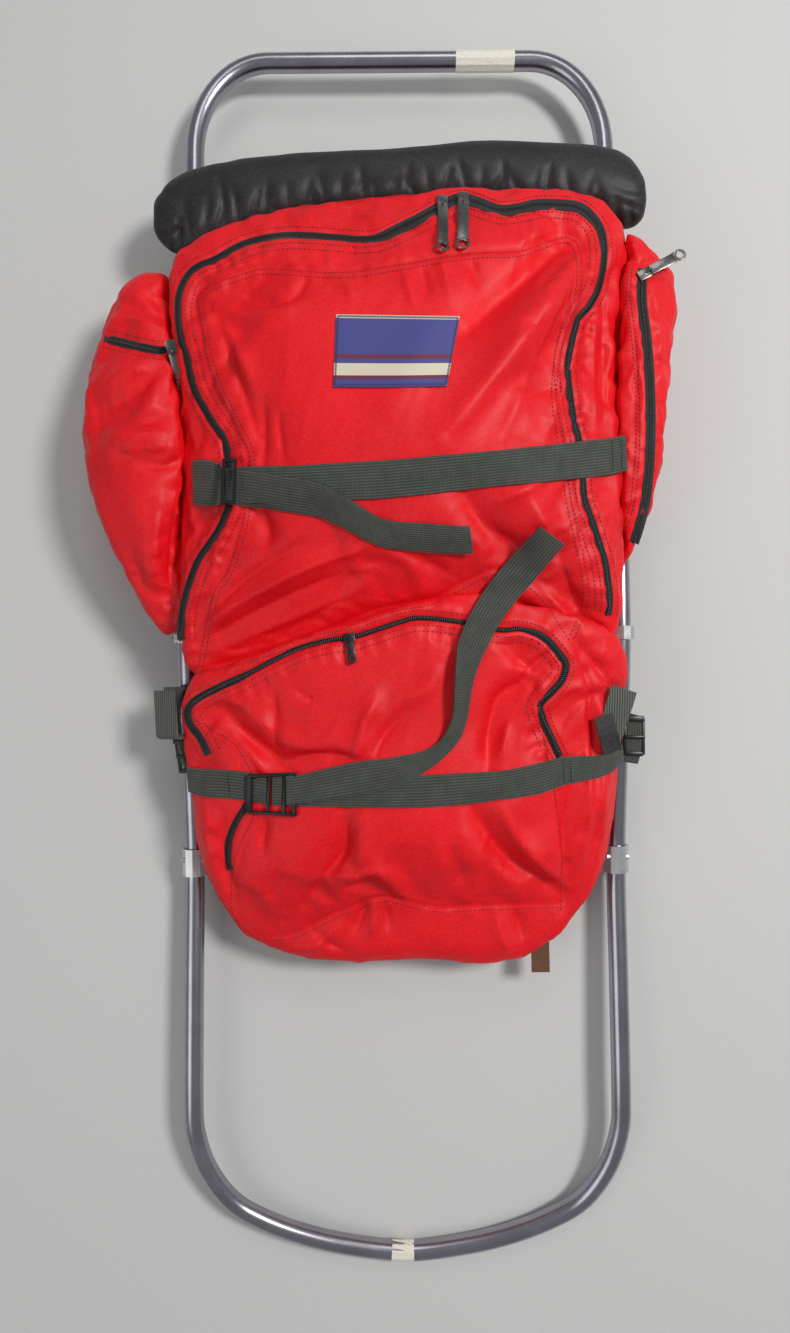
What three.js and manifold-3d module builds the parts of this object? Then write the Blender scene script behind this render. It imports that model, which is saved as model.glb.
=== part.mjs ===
// An external frame backpack, lying on its harness with the bag's front facing up.
// Millimetres. +X is to the right seen from above, +Y towards the top bar, +Z up from the floor.
import * as THREE from "three";
import { mergeVertices } from "three/addons/utils/BufferGeometryUtils.js";
import Module from "manifold-3d";

const wasm = await Module();
wasm.setup();

// General clearances
const GAP = 0.3; // between pieces that touch
const WALL = 2; // bag cloth with its coating, seams and lining

// Frame
const FRAME_WIDTH = 359; // between the centre lines of the side tubes
const FRAME_LENGTH = 1034; // from the centre of the top bar to the centre of the bottom bar
const FRAME_ARCH = 56; // greatest height of the tube centres above the floor
const TUBE_OD = 16;
const TUBE_WALL = 1.6;
const TUBE_SIDES = 10; // facets round each tube
const BEND_X = 64; // top bend, across
const BEND_Y = 80; // top bend, along
const JOINT_DROP = 699; // from the top bar to the joint of the two hoops
const JOINT_GAP = 3; // between the hoops' ends, inside the joint's collar
const CROSSBAR_OD = 13;
const CROSSBAR_TOP_DROP = 275;
const CROSSBAR_MIDDLE_DROP = 560;
const CROSSBAR_LUMBAR_DROP = 660;
const COLLAR_LENGTH = 23;
const COLLAR_MIDDLE_LENGTH = 11;
const COLLAR_WALL = 1.8;
const COLLAR_MIDDLE_DROP = 509;
const RIVET_OD = 5;
const TAPE_THICKNESS = 0.5;
const TAPE_TOP_LENGTH = 51;
const TAPE_TOP_X = 76;
const TAPE_BOTTOM_LENGTH = 19;
const TAPE_BOTTOM_X = -5;

// Bag
const BACK_CLEARANCE = 1; // between the bag's back and the tubes
const UPPER_WIDTH = 375;
const UPPER_LENGTH = 440;
const UPPER_DEPTH = 84;
const UPPER_DROP = 372; // from the top bar to the middle of the upper bag
const LOWER_WIDTH = 375;
const LOWER_LENGTH = 300;
const LOWER_DEPTH = 56;
const LOWER_DROP = 607;
const LEFT_POCKET_WIDTH = 130;
const LEFT_POCKET_LENGTH = 330;
const LEFT_POCKET_DEPTH = 58;
const LEFT_POCKET_OUT = 235; // from the frame's middle to the middle of the pocket
const LEFT_POCKET_DROP = 322;
const LEFT_POCKET_SEAT = -7; // pocket back, from the tube centres
const RIGHT_POCKET_WIDTH = 80;
const RIGHT_POCKET_LENGTH = 290;
const RIGHT_POCKET_DEPTH = 52;
const RIGHT_POCKET_OUT = 200;
const RIGHT_POCKET_DROP = 302;

// Padded roll above the bag
const ROLL_WIDTH = 413;
const ROLL_HEIGHT = 74;
const ROLL_DEPTH = 40;
const ROLL_DROP = 138;

// Zips
const ZIP_WIDTH = 8;
const ZIP_RISE = 0.6; // of the zip above the cloth
const PULL_LENGTH = 24;
const PULL_WIDTH = 7;
const PULL_THICKNESS = 1.6;
const SLIDER_LENGTH = 11;
const SLIDER_HEIGHT = 4;

// Webbing
const WEB_WIDTH = 25.4;
const WEB_THICKNESS = 1.6;
const BAR = 2.4; // thickness of the buckles' bars
const LOWER_BUCKLE_LENGTH = 34;
const RING_LENGTH = 11;

// Label patch
const LABEL_TOP_WIDTH = 93;
const LABEL_BOTTOM_WIDTH = 85;
const LABEL_HEIGHT = 54;
const LABEL_THICKNESS = 0.8;

// Harness
const PAD_WIDTH = 62;
const PAD_THICKNESS = 13;
const BELT_HEIGHT = 90;
const BELT_THICKNESS = 7;
const BAND_HEIGHT = 110;
const BAND_THICKNESS = 3;

// Small pieces on the sides, the harness and the finish of the meshes
const BACK_SHARE = 0.93; // the flat back's outline, as a share of the widest one
const INSIDE_FINENESS = 0.6; // the inside follows the outside this closely
const ROLL_PLEATS = 9; // gathers along each end of the roll
const LOOP_LENGTH = 42;
const LOOP_OUT = 3; // from the lower bag's side to the loop's middle
const LOOP_DROP = 572;
const LOOP_TURN = 4;
const SIDE_BUCKLE_LENGTH = 31;
const SIDE_BUCKLE_WIDTH = 18;
const SHOULDER_LENGTH = 262; // level length of each pad, from the crossbar
const BELT_TOP_DROP = 547;
const BELT_BUCKLE_WIDTH = 60;
const BELT_BUCKLE_HEIGHT = 50;
const BAND_DROP = 350;
const TAB = { x: 0.6, y: -1.12, width: 15, length: 34, thickness: 2 };
const FINENESS = 0.11; // details smaller than this are left out of the finished meshes

const tubeR = TUBE_OD / 2;
const topY = FRAME_LENGTH / 2;
const jointY = topY - JOINT_DROP;
const halfFrame = FRAME_WIDTH / 2;

// Height of the tube centres along the frame: at is a share of the half length, lift one of the arch.
const FRAME_PROFILE = [
  { at: -1, lift: 0.143 },
  { at: -0.935, lift: 0.24 },
  { at: -0.84, lift: 0.41 },
  { at: -0.74, lift: 0.5 },
  { at: -0.55, lift: 0.48 },
  { at: -0.35, lift: 0.45 },
  { at: -0.18, lift: 0.7 },
  { at: 0.02, lift: 1 },
  { at: 0.25, lift: 0.93 },
  { at: 0.55, lift: 0.68 },
  { at: 0.8, lift: 0.55 },
  { at: 1, lift: 0.536 },
];

// The bottom bend from the side tube to the middle: across is a share of the half width, down a length.
const BOTTOM_BEND = [
  { across: 1, down: 137 },
  { across: 0.994, down: 110 },
  { across: 0.94, down: 77 },
  { across: 0.83, down: 47 },
  { across: 0.69, down: 30 },
  { across: 0.5, down: 16 },
  { across: 0.28, down: 6 },
  { across: 0, down: 0 },
];

// A value from a table whose rows are in order of the column "at", on one smooth curve.
function track(rows, column, at) {
  const last = rows.length - 1;
  if (at <= rows[0].at) return rows[0][column];
  if (at >= rows[last].at) return rows[last][column];
  const i = rows.findIndex((row) => row.at > at) - 1;
  const slope = (k) => {
    const a = rows[Math.max(k - 1, 0)];
    const b = rows[Math.min(k + 1, last)];
    return (b[column] - a[column]) / (b.at - a.at);
  };
  const span = rows[i + 1].at - rows[i].at;
  const t = (at - rows[i].at) / span;
  const h1 = 2 * t ** 3 - 3 * t ** 2 + 1;
  const h2 = t ** 3 - 2 * t ** 2 + t;
  const h3 = t ** 3 - t ** 2;
  return h1 * rows[i][column] + (1 - h1) * rows[i + 1][column] + span * (h2 * slope(i) + h3 * slope(i + 1));
}

function frameLift(y) {
  return FRAME_ARCH * track(FRAME_PROFILE, "lift", y / topY);
}

// Shapes

function toSolid(geometry) {
  const bare = geometry.clone();
  bare.deleteAttribute("normal");
  bare.deleteAttribute("uv");
  const merged = mergeVertices(bare, 1e-4);
  const kept = [];
  for (let i = 0; i < merged.index.count; i += 3) {
    const [a, b, c] = [0, 1, 2].map((k) => merged.index.getX(i + k));
    if (a !== b && b !== c && c !== a) kept.push(a, b, c);
  }
  const mesh = new wasm.Mesh({
    numProp: 3,
    vertProperties: new Float32Array(merged.attributes.position.array),
    triVerts: new Uint32Array(kept),
  });
  return new wasm.Manifold(mesh);
}

function toGeometry(solid) {
  const mesh = solid.getMesh();
  const geometry = new THREE.BufferGeometry();
  geometry.setAttribute("position", new THREE.BufferAttribute(new Float32Array(mesh.vertProperties), 3));
  geometry.setIndex(new THREE.BufferAttribute(new Uint32Array(mesh.triVerts), 1));
  geometry.computeVertexNormals();
  return geometry;
}

// A closed skin through rings of as many points each, with a point at each end or a flat cap.
function loft(rings, startPoint, endPoint) {
  const n = rings[0].length;
  const middle = (ring) => ring.reduce((sum, p) => sum.add(p), new THREE.Vector3()).divideScalar(n);
  const points = [startPoint ?? middle(rings[0]), ...rings.flat(), endPoint ?? middle(rings[rings.length - 1])];
  const index = [];
  for (let k = 0; k < n; k++) {
    const next = (k + 1) % n;
    index.push(0, 1 + next, 1 + k);
    for (let r = 0; r + 1 < rings.length; r++) {
      const a = 1 + r * n;
      const b = a + n;
      index.push(a + k, a + next, b + next, a + k, b + next, b + k);
    }
    const end = 1 + (rings.length - 1) * n;
    index.push(end + k, end + next, points.length - 1);
  }
  const volume = index.reduce((sum, _, i) => {
    if (i % 3) return sum;
    const [a, b, c] = [points[index[i]], points[index[i + 1]], points[index[i + 2]]];
    return sum + a.dot(b.clone().cross(c));
  }, 0);
  if (volume < 0) index.reverse();
  const geometry = new THREE.BufferGeometry().setFromPoints(points);
  geometry.setIndex(index);
  geometry.computeVertexNormals();
  return geometry;
}

// The same skin, every point moved out along its normal.
function offset(geometry, distance) {
  const moved = geometry.clone();
  const { position, normal } = moved.attributes;
  const p = new THREE.Vector3();
  const n = new THREE.Vector3();
  for (let i = 0; i < position.count; i++) {
    p.fromBufferAttribute(position, i).addScaledVector(n.fromBufferAttribute(normal, i), distance);
    position.setXYZ(i, p.x, p.y, p.z);
  }
  return moved;
}

// A curve that is walked station by station, so that its steps stay where they are needed.
class StationCurve extends THREE.Curve {
  constructor(stations) {
    super();
    this.stations = stations;
  }
  getPoint(t, target = new THREE.Vector3()) {
    const last = this.stations.length - 1;
    const i = Math.min(Math.floor(t * last + 1e-6), last - 1);
    return target.lerpVectors(this.stations[i], this.stations[i + 1], t * last - i);
  }
  getPointAt(t, target) {
    return this.getPoint(t, target);
  }
  getTangentAt(t, target = new THREE.Vector3()) {
    const last = this.stations.length - 1;
    const i = Math.round(t * last);
    const a = this.stations[Math.max(i - 1, 0)];
    const b = this.stations[Math.min(i + 1, last)];
    return target.subVectors(b, a).normalize();
  }
}

function roundBar(stations, radius, sides) {
  const section = new THREE.Shape();
  for (let k = 0; k < sides; k++) {
    const a = (2 * Math.PI * (k + 0.5)) / sides;
    const [x, y] = [radius * Math.cos(a), radius * Math.sin(a)];
    if (k) section.lineTo(x, y);
    else section.moveTo(x, y);
  }
  const extrudePath = new StationCurve(stations);
  return new THREE.ExtrudeGeometry(section, { steps: stations.length - 1, extrudePath });
}

// Frame

function onFrame(x, y) {
  return new THREE.Vector3(x, y, frameLift(y));
}

function upperHoopStations() {
  const legs = 10;
  const bends = 6;
  const half = [];
  const bendY = topY - BEND_Y;
  const startY = jointY + JOINT_GAP / 2;
  for (let i = 0; i < legs; i++) half.push(onFrame(-halfFrame, startY + ((bendY - startY) * i) / legs));
  for (let i = 0; i <= bends; i++) {
    const a = (Math.PI / 2) * (i / bends);
    half.push(onFrame(-halfFrame + BEND_X * (1 - Math.cos(a)), bendY + BEND_Y * Math.sin(a)));
  }
  return [...half, ...half.map((p) => new THREE.Vector3(-p.x, p.y, p.z)).reverse()];
}

function lowerHoopStations() {
  const legs = 5;
  const bends = 11;
  const knots = BOTTOM_BEND.map((row) => new THREE.Vector3(-halfFrame * row.across, -topY + row.down, 0));
  const whole = [...knots, ...knots.slice(0, -1).map((p) => new THREE.Vector3(-p.x, p.y, 0)).reverse()];
  const curve = new THREE.CatmullRomCurve3(whole);
  const startY = jointY - JOINT_GAP / 2;
  const endY = knots[0].y;
  const half = [];
  for (let i = 0; i < legs; i++) half.push(onFrame(-halfFrame, startY + ((endY - startY) * i) / legs));
  for (let i = 0; i <= bends; i++) {
    const p = curve.getPoint((i / bends) * 0.5);
    half.push(onFrame(p.x, p.y));
  }
  const mirrored = half.slice(0, -1).map((p) => new THREE.Vector3(-p.x, p.y, p.z));
  return [...half, ...mirrored.reverse()];
}

const upperStations = upperHoopStations();
const lowerStations = lowerHoopStations();

function tube(stations) {
  const outer = toSolid(roundBar(stations, tubeR, TUBE_SIDES));
  const first = stations[0].clone().lerp(stations[1], -0.05);
  const n = stations.length;
  const last = stations[n - 1].clone().lerp(stations[n - 2], -0.05);
  const bore = toSolid(roundBar([first, ...stations.slice(1, -1), last], tubeR - TUBE_WALL, TUBE_SIDES / 2));
  return outer.subtract(bore);
}

const upperHoop = tube(upperStations);
const lowerHoop = tube(lowerStations);

function alongFrame(geometry, x, y) {
  const slope = Math.atan2(frameLift(y + 5) - frameLift(y - 5), 10);
  geometry.rotateX(slope);
  geometry.translate(x, y, frameLift(y));
  return geometry;
}

function collar(side, y, length, rivets) {
  const inner = (tubeR + GAP) / Math.cos(Math.PI / TUBE_SIDES);
  const outer = inner + COLLAR_WALL;
  const profile = [
    [inner, -length / 2],
    [outer, -length / 2],
    [outer, length / 2],
    [inner, length / 2],
    [inner, -length / 2],
  ].map(([r, h]) => new THREE.Vector2(r, h));
  let solid = toSolid(alongFrame(new THREE.LatheGeometry(profile, TUBE_SIDES), side * halfFrame, y));
  if (rivets) {
    for (const turn of [-1, 1]) {
      const rivet = new THREE.SphereGeometry(RIVET_OD / 2, 6, 4);
      rivet.translate(turn * (outer - 0.3) * 0.8, 0, (outer - 0.3) * 0.6);
      solid = solid.add(toSolid(alongFrame(rivet, side * halfFrame, y + length * 0.1)));
    }
  }
  return solid.subtract(fatHoop(upperStations, GAP)).subtract(fatHoop(lowerStations, GAP));
}

// A hoop with its bore filled and its skin moved out, to cut what fits round it.
function fatHoop(stations, distance) {
  const near = stations.filter((p) => Math.abs(p.x) > halfFrame - 1 || distance < GAP);
  if (near.length === stations.length) return toSolid(roundBar(stations, tubeR + distance, TUBE_SIDES));
  const half = near.length / 2;
  return toSolid(roundBar(near.slice(0, half), tubeR + distance, TUBE_SIDES)).add(
    toSolid(roundBar(near.slice(half), tubeR + distance, TUBE_SIDES)),
  );
}

function crossbar(y) {
  const length = FRAME_WIDTH - TUBE_OD - 2 * GAP;
  const geometry = new THREE.CylinderGeometry(CROSSBAR_OD / 2, CROSSBAR_OD / 2, length, 12);
  geometry.rotateZ(Math.PI / 2);
  geometry.translate(0, y, frameLift(y));
  return geometry;
}

// A strip of tape round a bar, following its stations between two places.
function tape(stations, x, length) {
  const curve = new THREE.CatmullRomCurve3(stations.filter((p) => Math.abs(p.x) < 0.7 * halfFrame));
  const at = (px) => {
    let best = curve.getPoint(0);
    for (let i = 0; i <= 400; i++) {
      const p = curve.getPoint(i / 400);
      if (Math.abs(p.x - px) < Math.abs(best.x - px)) best = p;
    }
    return best;
  };
  const path = [0, 0.5, 1].map((t) => at(x + (t - 0.5) * length));
  const ring = toSolid(roundBar(path, tubeR + GAP / 2 + TAPE_THICKNESS, TUBE_SIDES));
  return ring.subtract(fatHoop(stations, GAP / 2));
}

// Bags

// Sections round each bag, clockwise from the top seen from the front. x and y place its widest line and
// seamX and seamY its front seam, as shares of the half width and half length; side and seam are the heights
// of those lines above the bag's back, as shares of the depth.
const UPPER_SECTIONS = [
  { x: -0.22, y: 1.0, side: 0.42, seamX: -0.21, seamY: 0.78, seam: 0.76 },
  { x: 0.0, y: 1.01, side: 0.45, seamX: 0.0, seamY: 0.81, seam: 0.79 },
  { x: 0.35, y: 1.02, side: 0.45, seamX: 0.33, seamY: 0.9, seam: 0.76 },
  { x: 0.7, y: 1.01, side: 0.45, seamX: 0.62, seamY: 0.89, seam: 0.76 },
  { x: 0.91, y: 0.96, side: 0.42, seamX: 0.79, seamY: 0.86, seam: 0.74 },
  { x: 1.0, y: 0.84, side: 0.37, seamX: 0.85, seamY: 0.74, seam: 0.72 },
  { x: 0.98, y: 0.61, side: 0.32, seamX: 0.8, seamY: 0.55, seam: 0.72 },
  { x: 0.96, y: 0.31, side: 0.26, seamX: 0.68, seamY: 0.23, seam: 0.74 },
  { x: 0.95, y: 0.01, side: 0.2, seamX: 0.73, seamY: 0.02, seam: 0.68 },
  { x: 0.95, y: -0.28, side: 0.17, seamX: 0.81, seamY: -0.33, seam: 0.54 },
  { x: 0.94, y: -0.54, side: 0.14, seamX: 0.86, seamY: -0.54, seam: 0.4 },
  { x: 0.9, y: -0.7, side: 0.12, seamX: 0.78, seamY: -0.62, seam: 0.26 },
  { x: 0.59, y: -0.77, side: 0.1, seamX: 0.57, seamY: -0.62, seam: 0.2 },
  { x: 0.24, y: -0.78, side: 0.1, seamX: 0.23, seamY: -0.58, seam: 0.2 },
  { x: -0.11, y: -0.8, side: 0.1, seamX: -0.1, seamY: -0.6, seam: 0.2 },
  { x: -0.46, y: -0.82, side: 0.1, seamX: -0.44, seamY: -0.66, seam: 0.2 },
  { x: -0.81, y: -0.84, side: 0.1, seamX: -0.74, seamY: -0.72, seam: 0.2 },
  { x: -0.95, y: -0.76, side: 0.12, seamX: -0.88, seamY: -0.68, seam: 0.25 },
  { x: -0.96, y: -0.53, side: 0.14, seamX: -0.91, seamY: -0.51, seam: 0.36 },
  { x: -0.96, y: -0.31, side: 0.16, seamX: -0.83, seamY: -0.33, seam: 0.48 },
  { x: -0.96, y: -0.12, side: 0.18, seamX: -0.72, seamY: -0.17, seam: 0.59 },
  { x: -0.96, y: 0.1, side: 0.22, seamX: -0.74, seamY: 0.04, seam: 0.66 },
  { x: -0.97, y: 0.29, side: 0.26, seamX: -0.85, seamY: 0.22, seam: 0.66 },
  { x: -0.99, y: 0.51, side: 0.32, seamX: -0.93, seamY: 0.42, seam: 0.65 },
  { x: -1.02, y: 0.68, side: 0.35, seamX: -0.92, seamY: 0.61, seam: 0.67 },
  { x: -0.98, y: 0.81, side: 0.37, seamX: -0.84, seamY: 0.69, seam: 0.7 },
  { x: -0.77, y: 0.9, side: 0.38, seamX: -0.65, seamY: 0.77, seam: 0.72 },
  { x: -0.48, y: 0.97, side: 0.39, seamX: -0.42, seamY: 0.79, seam: 0.74 },
];
const LOWER_SECTIONS = [
  { x: -0.02, y: 0.79, side: 0.62, seamX: -0.02, seamY: 0.69, seam: 0.74 },
  { x: 0.19, y: 0.86, side: 0.64, seamX: 0.21, seamY: 0.69, seam: 0.76 },
  { x: 0.4, y: 0.93, side: 0.64, seamX: 0.39, seamY: 0.65, seam: 0.76 },
  { x: 0.65, y: 0.78, side: 0.58, seamX: 0.58, seamY: 0.61, seam: 0.74 },
  { x: 0.89, y: 0.69, side: 0.38, seamX: 0.67, seamY: 0.48, seam: 0.7 },
  { x: 0.97, y: 0.5, side: 0.2, seamX: 0.65, seamY: 0.36, seam: 0.7 },
  { x: 0.96, y: 0.17, side: 0.18, seamX: 0.6, seamY: 0.21, seam: 0.69 },
  { x: 0.94, y: -0.21, side: 0.17, seamX: 0.66, seamY: -0.14, seam: 0.69 },
  { x: 0.91, y: -0.54, side: 0.18, seamX: 0.68, seamY: -0.51, seam: 0.67 },
  { x: 0.83, y: -0.79, side: 0.17, seamX: 0.71, seamY: -0.76, seam: 0.49 },
  { x: 0.62, y: -1.1, side: 0.14, seamX: 0.62, seamY: -0.83, seam: 0.42 },
  { x: 0.42, y: -1.19, side: 0.12, seamX: 0.41, seamY: -0.83, seam: 0.47 },
  { x: 0.06, y: -1.16, side: 0.12, seamX: 0.06, seamY: -0.82, seam: 0.5 },
  { x: -0.3, y: -1.18, side: 0.12, seamX: -0.26, seamY: -0.84, seam: 0.49 },
  { x: -0.52, y: -1.12, side: 0.12, seamX: -0.5, seamY: -0.93, seam: 0.42 },
  { x: -0.73, y: -1.01, side: 0.13, seamX: -0.66, seamY: -0.88, seam: 0.42 },
  { x: -0.86, y: -0.75, side: 0.16, seamX: -0.76, seamY: -0.65, seam: 0.53 },
  { x: -0.93, y: -0.53, side: 0.17, seamX: -0.76, seamY: -0.46, seam: 0.58 },
  { x: -0.95, y: -0.25, side: 0.17, seamX: -0.74, seamY: -0.24, seam: 0.62 },
  { x: -0.97, y: 0.08, side: 0.16, seamX: -0.86, seamY: 0.1, seam: 0.52 },
  { x: -0.97, y: 0.3, side: 0.18, seamX: -0.91, seamY: 0.27, seam: 0.5 },
  { x: -0.91, y: 0.45, side: 0.36, seamX: -0.78, seamY: 0.36, seam: 0.6 },
  { x: -0.6, y: 0.55, side: 0.54, seamX: -0.58, seamY: 0.48, seam: 0.71 },
  { x: -0.27, y: 0.69, side: 0.6, seamX: -0.27, seamY: 0.61, seam: 0.74 },
];
const LEFT_POCKET_SECTIONS = [
  { x: 0.56, y: 0.71, side: 0.65, seamX: 0.72, seamY: 0.5, seam: 0.95 },
  { x: 0.27, y: 0.69, side: 0.65, seamX: 0.5, seamY: 0.5, seam: 0.95 },
  { x: -0.01, y: 0.59, side: 0.63, seamX: 0.34, seamY: 0.4, seam: 0.96 },
  { x: -0.26, y: 0.31, side: 0.57, seamX: 0.09, seamY: 0.18, seam: 0.94 },
  { x: -0.36, y: 0.13, side: 0.53, seamX: 0.0, seamY: 0.04, seam: 0.92 },
  { x: -0.41, y: -0.07, side: 0.48, seamX: -0.02, seamY: -0.14, seam: 0.88 },
  { x: -0.35, y: -0.35, side: 0.39, seamX: 0.03, seamY: -0.36, seam: 0.8 },
  { x: -0.22, y: -0.55, side: 0.33, seamX: 0.14, seamY: -0.54, seam: 0.72 },
  { x: 0.0, y: -0.74, side: 0.28, seamX: 0.3, seamY: -0.68, seam: 0.64 },
  { x: 0.24, y: -0.92, side: 0.24, seamX: 0.45, seamY: -0.83, seam: 0.55 },
  { x: 0.46, y: -1.11, side: 0.2, seamX: 0.6, seamY: -0.97, seam: 0.46 },
  { x: 0.75, y: -1.17, side: 0.2, seamX: 0.78, seamY: -1.04, seam: 0.44 },
  { x: 0.93, y: -0.95, side: 0.25, seamX: 0.95, seamY: -0.88, seam: 0.58 },
  { x: 0.97, y: -0.5, side: 0.35, seamX: 1.1, seamY: -0.5, seam: 0.83 },
  { x: 0.97, y: -0.1, side: 0.45, seamX: 1.18, seamY: -0.15, seam: 0.93 },
  { x: 0.97, y: 0.3, side: 0.56, seamX: 1.04, seamY: 0.22, seam: 0.98 },
  { x: 0.86, y: 0.6, side: 0.62, seamX: 0.9, seamY: 0.44, seam: 0.97 },
];
const RIGHT_POCKET_SECTIONS = [
  { x: -0.9, y: 0.76, side: 0.72, seamX: -0.86, seamY: 0.58, seam: 0.95 },
  { x: -0.51, y: 0.84, side: 0.74, seamX: -0.6, seamY: 0.62, seam: 1.02 },
  { x: 0.04, y: 0.74, side: 0.66, seamX: -0.28, seamY: 0.56, seam: 1.03 },
  { x: 0.65, y: 0.6, side: 0.54, seamX: -0.05, seamY: 0.45, seam: 1.0 },
  { x: 0.66, y: 0.34, side: 0.44, seamX: -0.1, seamY: 0.2, seam: 0.98 },
  { x: 0.52, y: 0.14, side: 0.38, seamX: -0.1, seamY: -0.02, seam: 0.93 },
  { x: 0.4, y: -0.17, side: 0.3, seamX: -0.1, seamY: -0.28, seam: 0.86 },
  { x: 0.28, y: -0.48, side: 0.22, seamX: -0.14, seamY: -0.54, seam: 0.75 },
  { x: 0.11, y: -0.71, side: 0.18, seamX: -0.22, seamY: -0.72, seam: 0.62 },
  { x: -0.27, y: -0.94, side: 0.14, seamX: -0.42, seamY: -0.88, seam: 0.46 },
  { x: -0.51, y: -1.1, side: 0.12, seamX: -0.62, seamY: -0.98, seam: 0.38 },
  { x: -0.8, y: -0.98, side: 0.12, seamX: -0.84, seamY: -0.9, seam: 0.44 },
  { x: -0.9, y: -0.57, side: 0.18, seamX: -0.98, seamY: -0.58, seam: 0.68 },
  { x: -0.9, y: -0.12, side: 0.33, seamX: -1.02, seamY: -0.18, seam: 0.88 },
  { x: -0.92, y: 0.39, side: 0.5, seamX: -1.0, seamY: 0.28, seam: 0.95 },
];

// Folds: each runs from x1, y1 to x2, y2 (shares of the half sizes), with its half width and its height in
// millimetres at the middle; a negative height is a valley.
const UPPER_FOLDS = [
  { x1: 0.68, y1: 0.71, x2: 0.24, y2: 0.39, width: 15, height: -8 },
  { x1: 0.72, y1: 0.62, x2: 0.47, y2: 0.35, width: 17, height: 6 },
  { x1: 0.47, y1: 0.35, x2: 0.1, y2: -0.02, width: 22, height: 5 },
  { x1: 0.62, y1: 0.5, x2: 0.46, y2: 0.12, width: 13, height: 4 },
  { x1: 0.68, y1: 0.39, x2: 0.54, y2: 0.01, width: 12, height: 4 },
  { x1: -0.66, y1: 0.53, x2: -0.42, y2: 0.5, width: 9, height: -4 },
  { x1: -0.57, y1: 0.2, x2: -0.57, y2: -0.1, width: 10, height: -4 },
  { x1: -0.56, y1: -0.2, x2: -0.56, y2: -0.36, width: 16, height: -6 },
  { x1: -0.8, y1: -0.6, x2: -0.1, y2: -0.33, width: 11, height: 5 },
  { x1: -0.8, y1: -0.52, x2: -0.42, y2: -0.26, width: 10, height: 4 },
  { x1: 0.23, y1: -0.12, x2: 0.49, y2: -0.4, width: 18, height: -8 },
  { x1: 0.62, y1: -0.38, x2: 0.74, y2: -0.62, width: 12, height: -6 },
  { x1: 0.5, y1: -0.48, x2: 0.68, y2: -0.64, width: 9, height: 4 },
  { x1: 0.8, y1: 0.52, x2: 0.78, y2: 0.1, width: 8, height: -3 },
];
const LOWER_FOLDS = [
  { x1: -0.75, y1: 0.24, x2: -0.5, y2: -0.05, width: 14, height: -7 },
  { x1: -0.69, y1: 0.08, x2: -0.58, y2: -0.1, width: 9, height: 4 },
  { x1: -0.48, y1: -0.03, x2: -0.18, y2: -0.03, width: 9, height: -4 },
  { x1: -0.55, y1: 0.36, x2: -0.54, y2: 0.05, width: 9, height: -4 },
  { x1: -0.21, y1: -0.01, x2: -0.12, y2: 0.3, width: 10, height: 4 },
  { x1: 0.5, y1: 0.42, x2: 0.38, y2: 0.2, width: 14, height: -7 },
  { x1: 0.38, y1: 0.2, x2: 0.35, y2: -0.1, width: 13, height: -6 },
  { x1: -0.25, y1: -0.26, x2: -0.3, y2: -0.56, width: 12, height: -5 },
  { x1: -0.3, y1: -0.5, x2: -0.42, y2: -0.8, width: 10, height: -4 },
  { x1: 0.25, y1: -0.24, x2: 0.42, y2: -0.52, width: 14, height: -6 },
  { x1: 0.42, y1: -0.5, x2: 0.67, y2: -0.76, width: 13, height: -6 },
  { x1: 0.42, y1: -0.26, x2: 0.66, y2: -0.62, width: 10, height: 5 },
  { x1: -0.34, y1: -0.68, x2: -0.1, y2: -0.6, width: 10, height: 4 },
  { x1: -0.14, y1: -0.84, x2: -0.2, y2: -1.0, width: 9, height: -4 },
  { x1: 0.78, y1: 0.3, x2: 0.76, y2: -0.05, width: 10, height: -5 },
  { x1: 0.74, y1: -0.15, x2: 0.76, y2: -0.7, width: 9, height: -5 },
];
const LEFT_POCKET_FOLDS = [
  { x1: 0.6, y1: 0.12, x2: 0.2, y2: -0.05, width: 11, height: -4 },
  { x1: -0.04, y1: -0.1, x2: 0.68, y2: -0.12, width: 12, height: -4 },
  { x1: 0.05, y1: -0.24, x2: 0.9, y2: -0.26, width: 12, height: 4 },
  { x1: 0.3, y1: -0.34, x2: 1.0, y2: -0.36, width: 10, height: -4 },
  { x1: 0.84, y1: -0.45, x2: 0.84, y2: -0.95, width: 10, height: -5 },
];
const RIGHT_POCKET_FOLDS = [{ x1: -0.73, y1: 0.35, x2: -0.73, y2: -0.3, width: 9, height: -3 }];

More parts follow.
